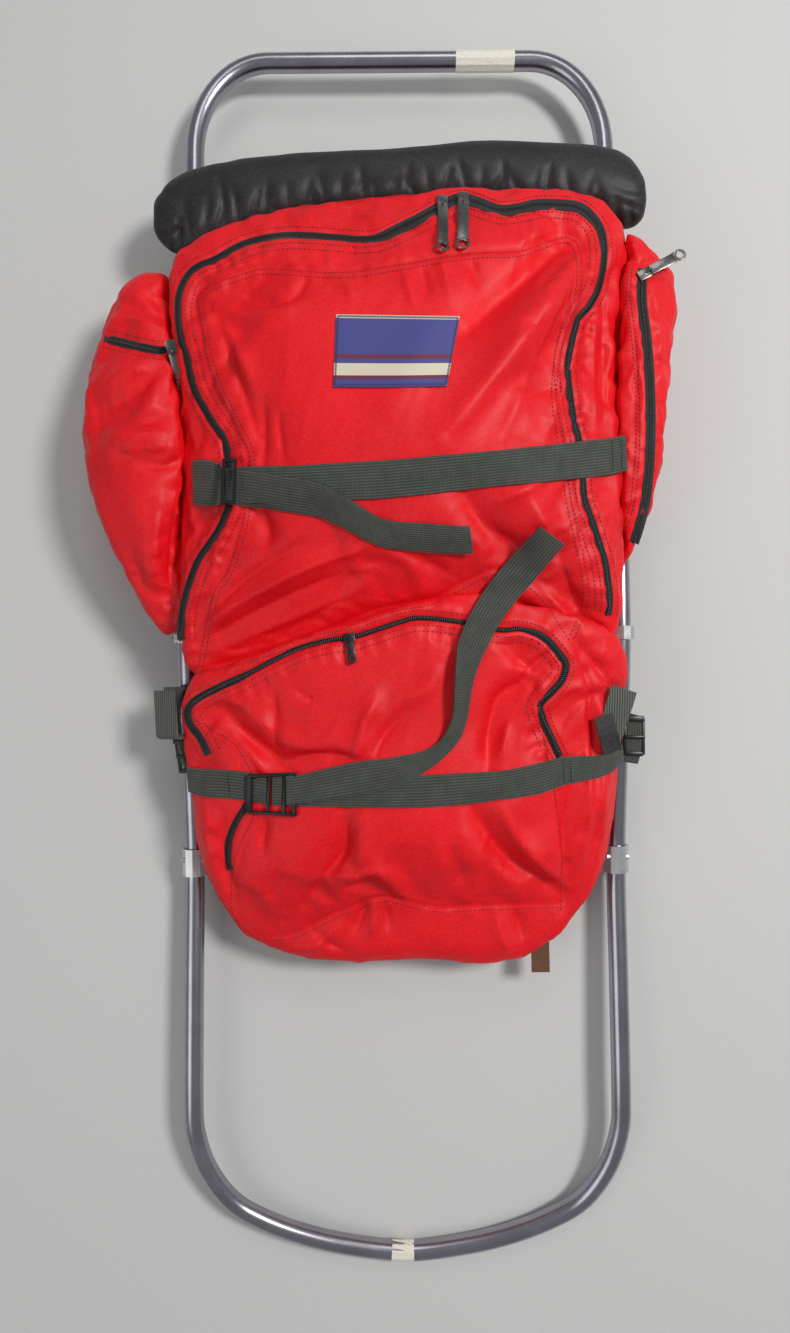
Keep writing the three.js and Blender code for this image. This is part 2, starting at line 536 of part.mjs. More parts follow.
const BAGS = {
  upper: {
    sections: UPPER_SECTIONS,
    folds: UPPER_FOLDS,
    x: 0,
    y: topY - UPPER_DROP,
    width: UPPER_WIDTH,
    length: UPPER_LENGTH,
    depth: UPPER_DEPTH,
    seat: tubeR + BACK_CLEARANCE,
    centre: [0, 0.08],
    crown: 1,
    spokes: 36,
    front: [0.13, 0.3, 0.48, 0.66, 0.83],
  },
  lower: {
    sections: LOWER_SECTIONS,
    folds: LOWER_FOLDS,
    x: 0,
    y: topY - LOWER_DROP,
    width: LOWER_WIDTH,
    length: LOWER_LENGTH,
    depth: LOWER_DEPTH,
    seat: tubeR + BACK_CLEARANCE,
    centre: [-0.05, -0.1],
    crown: 0.94,
    spokes: 32,
    front: [0.14, 0.32, 0.52, 0.74],
  },
  leftPocket: {
    sections: LEFT_POCKET_SECTIONS,
    folds: LEFT_POCKET_FOLDS,
    x: -LEFT_POCKET_OUT,
    y: topY - LEFT_POCKET_DROP,
    width: LEFT_POCKET_WIDTH,
    length: LEFT_POCKET_LENGTH,
    depth: LEFT_POCKET_DEPTH,
    seat: LEFT_POCKET_SEAT,
    centre: [0.5, -0.15],
    crown: 1.1,
    spokes: 18,
    front: [0.2, 0.46, 0.73],
  },
  rightPocket: {
    sections: RIGHT_POCKET_SECTIONS,
    folds: RIGHT_POCKET_FOLDS,
    x: RIGHT_POCKET_OUT,
    y: topY - RIGHT_POCKET_DROP,
    width: RIGHT_POCKET_WIDTH,
    length: RIGHT_POCKET_LENGTH,
    depth: RIGHT_POCKET_DEPTH,
    seat: tubeR + BACK_CLEARANCE,
    centre: [-0.45, -0.05],
    crown: 1.06,
    spokes: 15,
    front: [0.25, 0.6],
  },
};

function inBag(bag, x, y) {
  return [bag.x + (x * bag.width) / 2, bag.y + (y * bag.length) / 2];
}

function backHeight(bag, y) {
  return frameLift(y) + bag.seat;
}

function foldHeight(bag, x, y) {
  let sum = 0;
  for (const fold of bag.folds) {
    const [ax, ay] = inBag(bag, fold.x1, fold.y1);
    const [bx, by] = inBag(bag, fold.x2, fold.y2);
    const long = Math.hypot(bx - ax, by - ay);
    const along = ((x - ax) * (bx - ax) + (y - ay) * (by - ay)) / long;
    const across = ((x - ax) * (by - ay) - (y - ay) * (bx - ax)) / long;
    const past = Math.max(0, -along, along - long);
    const reach = Math.hypot(across, past * 0.8) / fold.width;
    sum += fold.height * Math.exp(-reach * reach);
  }
  return sum;
}

// Closed curves through the sections: the widest line and the front seam.
function bagCurves(bag) {
  const point = (row, x, y, height) => {
    const [px, py] = inBag(bag, row[x], row[y]);
    return new THREE.Vector3(px, py, backHeight(bag, py) + row[height] * bag.depth);
  };
  const curve = (x, y, height) => {
    return new THREE.CatmullRomCurve3(bag.sections.map((row) => point(row, x, y, height)), true);
  };
  return { side: curve("x", "y", "side"), seam: curve("seamX", "seamY", "seam") };
}

function bagSkin(bag) {
  const { side, seam } = bagCurves(bag);
  const at = (curve) => Array.from({ length: bag.spokes }, (_, k) => curve.getPoint(k / bag.spokes));
  const sides = at(side);
  const seams = at(seam);
  const [cx, cy] = inBag(bag, ...bag.centre);
  const back = (share) =>
    sides.map((p) => {
      const x = cx + (p.x - cx) * share;
      const y = cy + (p.y - cy) * share;
      return new THREE.Vector3(x, y, backHeight(bag, y));
    });
  const flat = back(BACK_SHARE);
  const lowerSide = (a) =>
    sides.map((p, k) => {
      const [s, c] = [Math.sin((a * Math.PI) / 2), Math.cos((a * Math.PI) / 2)];
      return flat[k].clone().lerp(new THREE.Vector3(p.x, p.y, flat[k].z), s).setZ(p.z + (flat[k].z - p.z) * c);
    });
  const upperSide = (a) =>
    sides.map((p, k) => {
      const [s, c] = [Math.sin((a * Math.PI) / 2), Math.cos((a * Math.PI) / 2)];
      const m = seams[k];
      return new THREE.Vector3(m.x + (p.x - m.x) * c, m.y + (p.y - m.y) * c, p.z + (m.z - p.z) * s);
    });
  const crown = backHeight(bag, cy) + bag.crown * bag.depth;
  const front = (t) =>
    seams.map((p) => {
      const rise = 1 - (1 - t) ** 2.2;
      return new THREE.Vector3(p.x + (cx - p.x) * t, p.y + (cy - p.y) * t, p.z + (crown - p.z) * rise);
    });
  const folded = (ring, weight) => ring.map((p) => p.clone().setZ(p.z + weight * foldHeight(bag, p.x, p.y)));
  const rings = [
    back(0.5),
    flat,
    lowerSide(0.55),
    lowerSide(1),
    folded(upperSide(0.5), 0.5),
    folded(upperSide(1), 0.7),
    ...bag.front.map((t) => folded(front(t), 1)),
  ];
  const start = new THREE.Vector3(cx, cy, backHeight(bag, cy));
  const end = new THREE.Vector3(cx, cy, crown + foldHeight(bag, cx, cy));
  return loft(rings, start, end);
}

const skins = Object.fromEntries(Object.entries(BAGS).map(([name, bag]) => [name, bagSkin(bag)]));
const body = (name, distance) => toSolid(offset(skins[name], distance));
// The tubes and their collars, moved out, to clear what lies against the frame.
function fatCollar(side, y, length, distance) {
  const reach = length + 2 * distance;
  const round = ((tubeR + GAP) / Math.cos(Math.PI / TUBE_SIDES) + COLLAR_WALL + distance) / Math.cos(Math.PI / 14);
  return toSolid(alongFrame(new THREE.CylinderGeometry(round, round, reach, 14), side * halfFrame, y));
}

const fatTube = (distance) => {
  const bar = toSolid(roundBar(upperStations, tubeR + distance, TUBE_SIDES));
  return [-1, 1].reduce((all, side) => {
    return all.add(fatCollar(side, topY - COLLAR_MIDDLE_DROP, COLLAR_MIDDLE_LENGTH, distance));
  }, bar);
};

const fatLower = (distance) => {
  const bar = toSolid(roundBar(lowerStations, tubeR + distance, TUBE_SIDES));
  return [-1, 1].reduce((all, side) => all.add(fatCollar(side, jointY, COLLAR_LENGTH, distance)), bar);
};

// A hollow bag of cloth, clear of what it lies against.
function hollow(name, neighbours) {
  const clear = (distance, solid) => neighbours.reduce((rest, other) => rest.subtract(other(distance)), solid);
  const outer = clear(GAP, body(name, 0));
  const inner = clear(GAP + WALL, body(name, -WALL)).simplify(INSIDE_FINENESS);
  return { outer, shell: outer.subtract(inner) };
}

const upperFat = (distance) => body("upper", distance);
const lowerFat = (distance) => body("lower", distance);
const upper = hollow("upper", [fatTube]);
const lower = hollow("lower", [upperFat, fatTube, fatLower]);
const left = hollow("leftPocket", [upperFat, lowerFat, fatTube]);
const right = hollow("rightPocket", [upperFat, lowerFat, fatTube]);

// Heights under the things that lie on the bag

const lookDown = new THREE.Raycaster();
const ground = [];

function addGround(solid) {
  const mesh = new THREE.Mesh(solid.isBufferGeometry ? solid : toGeometry(solid));
  mesh.geometry.computeBoundingBox();
  ground.push(mesh);
}

function heightAt(x, y) {
  lookDown.set(new THREE.Vector3(x, y, 1000), new THREE.Vector3(0, 0, -1));
  const near = ground.filter(({ geometry: { boundingBox: box } }) => {
    return x > box.min.x && x < box.max.x && y > box.min.y && y < box.max.y;
  });
  const hit = lookDown.intersectObjects(near, false)[0];
  return hit ? hit.point.z : -Infinity;
}

[upper.outer, lower.outer, left.outer, right.outer].forEach(addGround);

// Zips

const ZIP_PATHS = {
  leftPocket: [
    { x: -0.2, y: 0.38 },
    { x: 0.1, y: 0.31 },
    { x: 0.5, y: 0.26 },
    { x: 0.86, y: 0.235 },
  ],
  rightPocket: [
    { x: -0.24, y: 0.52 },
    { x: -0.22, y: 0.13 },
    { x: -0.18, y: -0.3 },
    { x: -0.22, y: -0.6 },
    { x: -0.34, y: -0.84 },
  ],
};

function alongTable(bag, rows, count) {
  const knots = rows.map((row) => new THREE.Vector3(...inBag(bag, row.x, row.y), 0));
  const curve = new THREE.CatmullRomCurve3(knots);
  return curve.getSpacedPoints(count).map((p) => p.setZ(heightAt(p.x, p.y)));
}

function alongSeam(bag, from, to, count) {
  const { seam } = bagCurves(bag);
  return Array.from({ length: count + 1 }, (_, i) => {
    const t = from + ((to - from) * i) / count;
    const p = seam.getPoint(((t % 1) + 1) % 1);
    return p.setZ(heightAt(p.x, p.y));
  });
}

// Level directions across a path at each of its points.
function acrossPath(points) {
  return points.map((_, i) => {
    const a = points[Math.max(i - 1, 0)];
    const b = points[Math.min(i + 1, points.length - 1)];
    return new THREE.Vector3(a.y - b.y, b.x - a.x, 0).normalize();
  });
}

function slot(points, width) {
  const across = acrossPath(points);
  const reach = 16;
  const ring = (p, n) =>
    [
      [-1, -1],
      [1, -1],
      [1, 1],
      [-1, 1],
    ].map(([s, h]) => p.clone().addScaledVector(n, (s * width) / 2).add(new THREE.Vector3(0, 0, h * reach)));
  return toSolid(loft(points.map((p, i) => ring(p, across[i]))));
}

function zipped(bag, part, name, neighbours, points) {
  const inset = points.slice();
  const shrink = (end, next) => end.clone().lerp(next, (2 * GAP) / end.distanceTo(next));
  inset[0] = shrink(points[0], points[1]);
  inset[inset.length - 1] = shrink(points[points.length - 1], points[points.length - 2]);
  const shell = part.shell.subtract(slot(points, ZIP_WIDTH));
  const clear = (distance, solid) => neighbours.reduce((rest, other) => rest.subtract(other(distance)), solid);
  const band = clear(GAP, body(name, ZIP_RISE)).subtract(body(name, ZIP_RISE - WALL));
  return { shell, zip: band.intersect(slot(inset, ZIP_WIDTH - 2 * GAP)) };
}

const mainPath = alongSeam(BAGS.upper, 17.2 / 28, 1 + 10.1 / 28, 34);
const lowerPath = alongSeam(BAGS.lower, 16.4 / 24, 1 + 7.6 / 24, 28);
const leftPath = alongTable(BAGS.leftPocket, ZIP_PATHS.leftPocket, 10);
const rightPath = alongTable(BAGS.rightPocket, ZIP_PATHS.rightPocket, 14);
const main = zipped(BAGS.upper, upper, "upper", [], mainPath);
const low = zipped(BAGS.lower, lower, "lower", [upperFat], lowerPath);
const leftZip = zipped(BAGS.leftPocket, left, "leftPocket", [upperFat], leftPath);
const rightZip = zipped(BAGS.rightPocket, right, "rightPocket", [upperFat], rightPath);
[main.zip, low.zip, leftZip.zip, rightZip.zip].forEach(addGround);

// Padded roll above the bag

// Along the roll from left to right: middle, height and depth are shares of the roll's half height and depth.
const ROLL_SECTIONS = [
  { at: -1, middle: -0.55, high: 0.42, deep: 0.5 },
  { at: -0.93, middle: -0.5, high: 0.86, deep: 0.8 },
  { at: -0.78, middle: -0.35, high: 1.0, deep: 1 },
  { at: -0.55, middle: -0.02, high: 0.86, deep: 1.04 },
  { at: -0.25, middle: 0.22, high: 0.74, deep: 0.98 },
  { at: 0, middle: 0.3, high: 0.7, deep: 1 },
  { at: 0.3, middle: 0.42, high: 0.72, deep: 1.02 },
  { at: 0.6, middle: 0.34, high: 0.76, deep: 1 },
  { at: 0.85, middle: 0.12, high: 0.86, deep: 0.98 },
  { at: 0.95, middle: -0.1, high: 0.8, deep: 0.8 },
  { at: 1, middle: -0.2, high: 0.4, deep: 0.5 },
];

function rollSkin() {
  const y0 = topY - ROLL_DROP;
  const sides = 12;
  const rings = [];
  const steps = 24;
  for (let i = 0; i <= steps; i++) {
    const at = -Math.cos((Math.PI * i) / steps) * 0.35 + (-1 + (2 * i) / steps) * 0.65;
    const x = (at * ROLL_WIDTH) / 2;
    const y = y0 + (track(ROLL_SECTIONS, "middle", at) * ROLL_HEIGHT) / 2;
    const high = (track(ROLL_SECTIONS, "high", at) * ROLL_HEIGHT) / 2;
    const deep = (track(ROLL_SECTIONS, "deep", at) * ROLL_DEPTH) / 2;
    const z = frameLift(y0) + tubeR + GAP + 0.3 + ROLL_DEPTH / 2;
    const gather = 0.03 * Math.cos(Math.PI * ROLL_PLEATS * at * 2) * Math.min(1, at * at * 3);
    const ring = [];
    for (let k = 0; k < sides; k++) {
      const a = (2 * Math.PI * k) / sides;
      const full = Math.max(Math.abs(Math.cos(a)), Math.abs(Math.sin(a))) ** -0.35;
      const swell = full * (1 + (Math.sin(a) < 0.3 ? gather : 0));
      const up = Math.max(-1.04, Math.min(1.04, Math.sin(a) * swell));
      ring.push(new THREE.Vector3(x, y + high * Math.cos(a) * swell, z + deep * up));
    }
    rings.push(ring);
  }
  return loft(rings);
}

const rollFloor = (distance) => body("upper", distance);
let roll = toSolid(rollSkin()).subtract(rollFloor(GAP)).subtract(fatTube(GAP));
roll = roll.subtract(body("leftPocket", GAP)).subtract(body("rightPocket", GAP));
roll = roll.decompose().sort((a, b) => b.volume() - a.volume())[0];
addGround(roll);

// Webbing

// One stretch of webbing through stations that hold its two edges and the way its face points.
function webbing(stations, thickness = WEB_THICKNESS) {
  return loft(
    stations.map(({ a, b, up }) => {
      const half = up.clone().multiplyScalar(thickness / 2);
      return [a.clone().sub(half), b.clone().sub(half), b.clone().add(half), a.clone().add(half)];
    }),
  );
}

// Stations of webbing that lies on whatever is under a path given in level coordinates.
function laid(knots, width, { lift = GAP, steps = 24, slack = 18 } = {}) {
  const curve = new THREE.CatmullRomCurve3(knots.map(([x, y]) => new THREE.Vector3(x, y, 0)));
  const fine = 4 * steps;
  const points = curve.getSpacedPoints(fine);
  const across = acrossPath(points);
  const pace = curve.getLength() / fine;
  const reach = Math.max(1, Math.round(slack / pace));
  const raw = points.map((p, i) => {
    const heights = [-0.5, -0.3, -0.1, 0.1, 0.3, 0.5].map((s) => {
      const q = p.clone().addScaledVector(across[i], s * width);
      return Math.max(heightAt(q.x, q.y), frameLift(q.y) + tubeR + GAP);
    });
    return { heights };
  });
  // The band rests on the highest point near each place, then is smoothed over the same reach.
  const column = (index) => {
    const pick = (i) => {
      const h = raw[Math.min(Math.max(i, 0), fine)].heights;
      const inner = Math.max(h[2], h[3], (h[1] + h[4]) / 2);
      const tilt = (h[5] - h[0]) * (index - 0.5);
      return Math.max(index ? Math.max(h[4], h[5]) : Math.max(h[0], h[1]), inner + 0.5 * tilt);
    };
    const high = points.map((_, i) => {
      let top = -Infinity;
      for (let k = -reach; k <= reach; k++) top = Math.max(top, pick(i + k));
      return top;
    });
    return high.map((_, i) => {
      let sum = 0;
      for (let k = -reach; k <= reach; k++) sum += high[Math.min(Math.max(i + k, 0), fine)];
      return sum / (2 * reach + 1);
    });
  };
  const [low, high] = [column(0), column(1)];
  const stations = [];
  for (let i = 0; i <= fine; i += 4) {
    const a = points[i].clone().addScaledVector(across[i], -width / 2);
    const b = points[i].clone().addScaledVector(across[i], width / 2);
    a.z = low[i] + lift + WEB_THICKNESS / 2;
    b.z = high[i] + lift + WEB_THICKNESS / 2;
    const level = Math.max(a.z, b.z) - 6;
    a.z = Math.max(a.z, level);
    b.z = Math.max(b.z, level);
    stations.push({ a, b, up: new THREE.Vector3(0, 0, 1) });
  }
  return stations;
}

// Webbing that turns back round a bar: centre, the level direction it comes in along, and from under to over.
function turn(centre, along, width, radius, steps = 6) {
  const side = new THREE.Vector3(-along.y, along.x, 0);
  return Array.from({ length: steps + 1 }, (_, i) => {
    const angle = -Math.PI / 2 + (Math.PI * i) / steps;
    const out = along.clone().multiplyScalar(Math.cos(angle)).add(new THREE.Vector3(0, 0, Math.sin(angle)));
    const p = centre.clone().addScaledVector(out, radius);
    const a = p.clone().addScaledVector(side, -width / 2);
    const b = p.clone().addScaledVector(side, width / 2);
    return { a, b, up: out.clone().negate(), folded: true };
  });
}

function middleOf(station) {
  return station.a.clone().add(station.b).multiplyScalar(0.5);
}

// A frame of bars lying level: outer length along X, width along Y, and equal windows between the bars.
function ladder(centre, length, width, windows, turnZ = 0, tilt = 0) {
  const shape = new THREE.Shape();
  const [x, y] = [length / 2, width / 2];
  shape.moveTo(-x + 1, -y);
  shape.lineTo(x - 1, -y);
  shape.lineTo(x, -y + 1);
  shape.lineTo(x, y - 1);
  shape.lineTo(x - 1, y);
  shape.lineTo(-x + 1, y);
  shape.lineTo(-x, y - 1);
  shape.lineTo(-x, -y + 1);
  shape.closePath();
  const place = (geometry) => {
    geometry.rotateY(tilt);
    geometry.rotateZ(turnZ);
    geometry.translate(centre.x, centre.y, centre.z);
    return toSolid(geometry);
  };
  const plate = new THREE.ExtrudeGeometry(shape, { depth: BAR, bevelEnabled: false });
  let solid = place(plate.translate(0, 0, -BAR / 2));
  const window = (length - (windows + 1) * BAR) / windows;
  for (let i = 0; i < windows; i++) {
    const hole = new THREE.BoxGeometry(window, width - 2 * BAR, 2 * BAR);
    solid = solid.subtract(place(hole.translate(-x + BAR + window / 2 + i * (window + BAR), 0, 0)));
  }
  return solid;
}

const TURN_RADIUS = BAR * 0.75 + GAP + WEB_THICKNESS / 2;
const bucklePath = (bag, rows) => rows.map((row) => inBag(bag, row.x, row.y));

// Upper strap, across the front from its stitched right end to the ring on the left, and its free tail.
const UPPER_BAND = [
  { x: 0.915, y: -0.002 },
  { x: 0.64, y: -0.046 },
  { x: 0.39, y: -0.079 },
  { x: -0.015, y: -0.123 },
  { x: -0.41, y: -0.129 },
  { x: -0.66, y: -0.123 },
];
const UPPER_TAIL = [
  { x: -0.64, y: -0.125 },
  { x: -0.49, y: -0.162 },
  { x: -0.33, y: -0.2 },
  { x: -0.21, y: -0.247 },
  { x: -0.095, y: -0.304 },
  { x: 0.0, y: -0.317 },
  { x: 0.12, y: -0.322 },
  { x: 0.272, y: -0.327 },
];
// Lower strap from the loop on the right to the ladder buckle, and its tail, which climbs over the upper bag.
const LOWER_BAND = [
  { x: 0.87, y: -0.06 },
  { x: 0.78, y: -0.087 },
  { x: 0.57, y: -0.13 },
  { x: 0.4, y: -0.165 },
  { x: 0.19, y: -0.183 },
  { x: -0.02, y: -0.19 },
  { x: -0.28, y: -0.188 },
  { x: -0.5, y: -0.19 },
];
const LOWER_TAIL = [
  { x: -0.48, y: -0.185 },
  { x: -0.23, y: -0.12 },
  { x: -0.02, y: -0.078 },
  { x: 0.08, y: -0.038 },
  { x: 0.155, y: 0.045 },
  { x: 0.212, y: 0.16 },
  { x: 0.233, y: 0.28 },
  { x: 0.245, y: 0.41 },
  { x: 0.26, y: 0.52 },
  { x: 0.29, y: 0.62 },
  { x: 0.358, y: 0.762 },
  { x: 0.44, y: 0.908 },
  { x: 0.53, y: 1.015 },
  { x: 0.6, y: 1.11 },
];
const LOWER_SHORT = [
  { x: -0.95, y: -0.14 },
  { x: -0.85, y: -0.155 },
  { x: -0.68, y: -0.17 },
];

// A strap that lies on the bag, turns round a bar at its end and comes back over itself as a loose tail.
function strapWithTail(bag, bandRows, tailRows, bandSteps, tailSteps, levelled) {
  const band = laid(bucklePath(bag, bandRows), WEB_WIDTH, { steps: bandSteps });
  const lastBand = middleOf(band[band.length - 1]);
  const before = middleOf(band[band.length - 3]);
  const along = lastBand.clone().sub(before).setZ(0).normalize();
  const ends = band[band.length - 1];
  const nearEnd = band.filter((station) => middleOf(station).distanceTo(lastBand) < levelled);
  const level = Math.max(...nearEnd.flatMap(({ a, b }) => [a.z, b.z]));
  nearEnd.forEach(({ a, b }) => [a, b].forEach((edge) => (edge.z = level)));
  lastBand.z = level;
  const centre = lastBand.clone().addScaledVector(along, TURN_RADIUS).add(new THREE.Vector3(0, 0, TURN_RADIUS));
  const bend = turn(centre, along, WEB_WIDTH, TURN_RADIUS);
  bend.forEach((station) => {
    if (station.a.distanceTo(ends.a) > station.a.distanceTo(ends.b)) {
      [station.a, station.b] = [station.b, station.a];
    }
  });
  const bandMesh = webbing(band);
  addGround(bandMesh);
  const tail = laid(bucklePath(bag, tailRows), WEB_WIDTH, { steps: tailSteps, lift: 0.4, slack: 10 });
  // The first stations of the tail stay above the bars that it leaves.
  const clearZ = centre.z + TURN_RADIUS;
  const start = middleOf(tail[0]);
  tail.forEach((station) => {
    const away = middleOf(station).setZ(0).distanceTo(start.clone().setZ(0));
    const blend = away < levelled ? 1 : Math.max(0, 1 - (away - levelled) / 40);
    for (const edge of [station.a, station.b]) edge.z = Math.max(edge.z, clearZ * blend + edge.z * (1 - blend));
    station.up = new THREE.Vector3(0, 0, 1);
  });
  const flip = ({ a, b, up }) => ({ a: b, b: a, up: up.clone() });
  const underUp = (s) => ({ a: s.a, b: s.b, up: new THREE.Vector3(0, 0, 1) });
  const overside = tail.map((s) => ({ ...flip(s), up: new THREE.Vector3(0, 0, -1) }));
  const folded = bend.slice(1, -1).map(({ a, b, up }) => ({ a, b, up }));
  return { stations: [...band.slice(0, -1).map(underUp), ...folded, ...overside.slice(1)], centre, along };
}

const upperStrap = strapWithTail(BAGS.upper, UPPER_BAND, UPPER_TAIL, 26, 18, 6);
const lowerStrap = strapWithTail(BAGS.lower, LOWER_BAND, LOWER_TAIL, 26, 34, LOWER_BUCKLE_LENGTH / 2 + 4);
const upperStrapMesh = webbing(upperStrap.stations);
const lowerStrapMesh = webbing(lowerStrap.stations);

function ringAt(strap, length, windows, back) {
  const centre = strap.centre.clone().addScaledVector(strap.along, back);
  const turnZ = Math.atan2(-strap.along.y, -strap.along.x);
  return ladder(centre, length, WEB_WIDTH + 2 * BAR + 4, windows, turnZ);
}
// The strap turns round the ring's near bar, and round the middle bar of the ladder buckle.
const upperRing = ringAt(upperStrap, RING_LENGTH, 1, RING_LENGTH / 2 - BAR / 2);
const lowerLadder = ringAt(lowerStrap, LOWER_BUCKLE_LENGTH, 2, 0);

[upperStrapMesh, lowerStrapMesh].forEach(addGround);

// Short webbing on the left and right

const clearOfBags = (solid, distance) =>
  Object.keys(BAGS).reduce((rest, name) => rest.subtract(body(name, distance)), solid);

// The left part of the lower strap, from the bag's side to the far bar of the ladder buckle.
function shortStrap(bag, rows, strap, back) {
  const stations = laid(bucklePath(bag, rows), WEB_WIDTH, { steps: 10, slack: 8 });
  const bar = strap.centre.clone().addScaledVector(strap.along, back);
  const along = strap.along.clone().negate();
  const end = bar.clone().addScaledVector(along, -TURN_RADIUS).add(new THREE.Vector3(0, 0, -TURN_RADIUS));
  const gapTo = middleOf(stations[stations.length - 1]).distanceTo(end);
  stations.forEach((station) => {
    const away = middleOf(station).distanceTo(end);
    if (away < gapTo + 14) [station.a, station.b].forEach((edge) => (edge.z = Math.max(edge.z, end.z)));
  });
  const bend = turn(bar, along, WEB_WIDTH, TURN_RADIUS, 6);
  const back2 = [4, 14].map((step) => {
    const { a, b } = bend[bend.length - 1];
    const move = along.clone().multiplyScalar(-step);
    return { a: a.clone().add(move), b: b.clone().add(move), up: new THREE.Vector3(0, 0, -1) };
  });
  const first = stations.map(({ a, b, up }) => ({ a, b, up }));
  const sameSide = first[first.length - 1].a.distanceTo(bend[0].a) < first[first.length - 1].a.distanceTo(bend[0].b);
  const bends = [...bend, ...back2].map(({ a, b, up }) => (sameSide ? { a, b, up } : { a: b, b: a, up }));
  return webbing([...first, ...bends]);
}

const lowerShort = shortStrap(BAGS.lower, LOWER_SHORT, lowerStrap, LOWER_BUCKLE_LENGTH / 2 - BAR / 2);
const UPPER_SHORT = [
  { x: -0.895, y: -0.11 },
  { x: -0.83, y: -0.112 },
  { x: -0.775, y: -0.115 },
];
const upperAnchor = shortStrap(BAGS.upper, UPPER_SHORT, upperStrap, RING_LENGTH - BAR);

// The loops at the bag's sides, each a turned length of webbing and the buckle that hangs on it.

function sideLoop() {
  const x = -LOWER_WIDTH / 2 - LOOP_OUT;
  const y = topY - LOOP_DROP;
  const tilt = Math.PI / 5;
  const z = frameLift(y) + tubeR + 11;
  const edge = new THREE.Vector3(Math.cos(tilt), 0, Math.sin(tilt)).multiplyScalar(WEB_WIDTH / 2);
  const up = new THREE.Vector3(-Math.sin(tilt), 0, Math.cos(tilt));
  const station = (along, over, facing) => {
    const p = new THREE.Vector3(x, y + along, z).addScaledVector(up, over);
    return { a: p.clone().sub(edge), b: p.clone().add(edge), up: facing };
  };
  const half = LOOP_LENGTH / 2;
  const stations = [station(half, -LOOP_TURN, up), station(-half + 4, -LOOP_TURN, up)];
  for (const a of [-60, -30, 0, 30, 60]) {
    const r = (a * Math.PI) / 180;
    const facing = up.clone().multiplyScalar(-Math.sin(r)).add(new THREE.Vector3(0, Math.cos(r), 0));
    stations.push(station(-half - LOOP_TURN * Math.cos(r) + 4, LOOP_TURN * Math.sin(r), facing));
  }
  stations.push(station(-half + 4, LOOP_TURN, up.clone().negate()));
  stations.push(station(half - 3, LOOP_TURN + 2, up.clone().negate()));
  return webbing(stations);
}

const leftLoop = clearOfBags(toSolid(sideLoop()), GAP).subtract(fatTube(GAP));

function sideBuckle(side, drop, out, lift, tilt) {
  const y = topY - drop;
  const x = side * (LOWER_WIDTH / 2 + out);
  const centre = new THREE.Vector3(x, y, frameLift(y) + tubeR + lift);
  return clearOfBags(ladder(centre, SIDE_BUCKLE_WIDTH, SIDE_BUCKLE_LENGTH, 1, 0, tilt), GAP).subtract(fatTube(GAP));
}

const RIGHT_LOOP = [
  { x: 0.86, y: 0.09 },
  { x: 0.893, y: 0.21 },
  { x: 0.925, y: 0.34 },
];
const RIGHT_KEEPER = [
  { x: 0.83, y: 0.2 },
  { x: 0.87, y: 0.01 },
];
const rightLoopMesh = webbing(laid(bucklePath(BAGS.lower, RIGHT_LOOP), 22, { steps: 8, slack: 5 }));
addGround(rightLoopMesh);
const rightKeeper = webbing(laid(bucklePath(BAGS.lower, RIGHT_KEEPER), 15, { steps: 8, slack: 9, lift: 0.8 }), 2);

// Zip pulls

// A slider on the zip with its tab, from the slider towards a second place on the cloth.
function pull(name, [x, y], [tx, ty], rise = 0) {
  const level = new THREE.Vector3(tx - x, ty - y, 0).normalize();
  const foot = heightAt(x, y) + ZIP_RISE + GAP;
  const box = new THREE.BoxGeometry(SLIDER_LENGTH, ZIP_WIDTH, SLIDER_HEIGHT);
  box.translate(SLIDER_LENGTH / 4, 0, SLIDER_HEIGHT / 2);
  const turned = Math.atan2(level.y, level.x);
  box.rotateZ(turned).translate(x, y, foot);
  const shape = new THREE.Shape();
  const [l, w] = [PULL_LENGTH, PULL_WIDTH / 2];
  shape.moveTo(0, -w * 0.7);
  shape.lineTo(l - w, -w);
  shape.lineTo(l, -w * 0.5);
  shape.lineTo(l, w * 0.5);
  shape.lineTo(l - w, w);
  shape.lineTo(0, w * 0.7);
  shape.closePath();
  const hole = new THREE.Path();
  hole.absellipse(l - w * 1.2, 0, w * 0.5, w * 0.5, 0, Math.PI * 2);
  shape.holes.push(hole);
  const tab = new THREE.ExtrudeGeometry(shape, { depth: PULL_THICKNESS, bevelEnabled: false, curveSegments: 4 });
  const near = foot + SLIDER_HEIGHT - PULL_THICKNESS;
  const end = [x + level.x * (l + 3), y + level.y * (l + 3)];
  const fall = Math.atan2(near - (heightAt(...end) + GAP + rise + 0.4), l);
  tab.rotateY(fall).rotateZ(turned).translate(x + level.x * 3, y + level.y * 3, near);
  return clearOfBags(toSolid(box).add(toSolid(tab)), ZIP_RISE + GAP);
}

const PULLS = {
  main_pull_left: ["upper", [0.165, 0.868], [0.165, 0.7]],
  main_pull_right: ["upper", [0.262, 0.882], [0.262, 0.7]],
  lower_pull: ["lower", [-0.22, 0.63], [-0.215, 0.4]],
  left_pocket_pull: ["leftPocket", [0.86, 0.235], [0.9, 0.0]],
  right_pocket_pull: ["rightPocket", [-0.24, 0.5], [0.5, 0.6]],
};
const pulls = Object.fromEntries(
  Object.entries(PULLS).map(([name, [bag, from, to]]) => {
    return [name, pull(bag, inBag(BAGS[bag], ...from), inBag(BAGS[bag], ...to))];
  }),
);

// Label patch

const LABEL_PLACE = { x: -0.034, y: 0.323, slant: 0.12 };

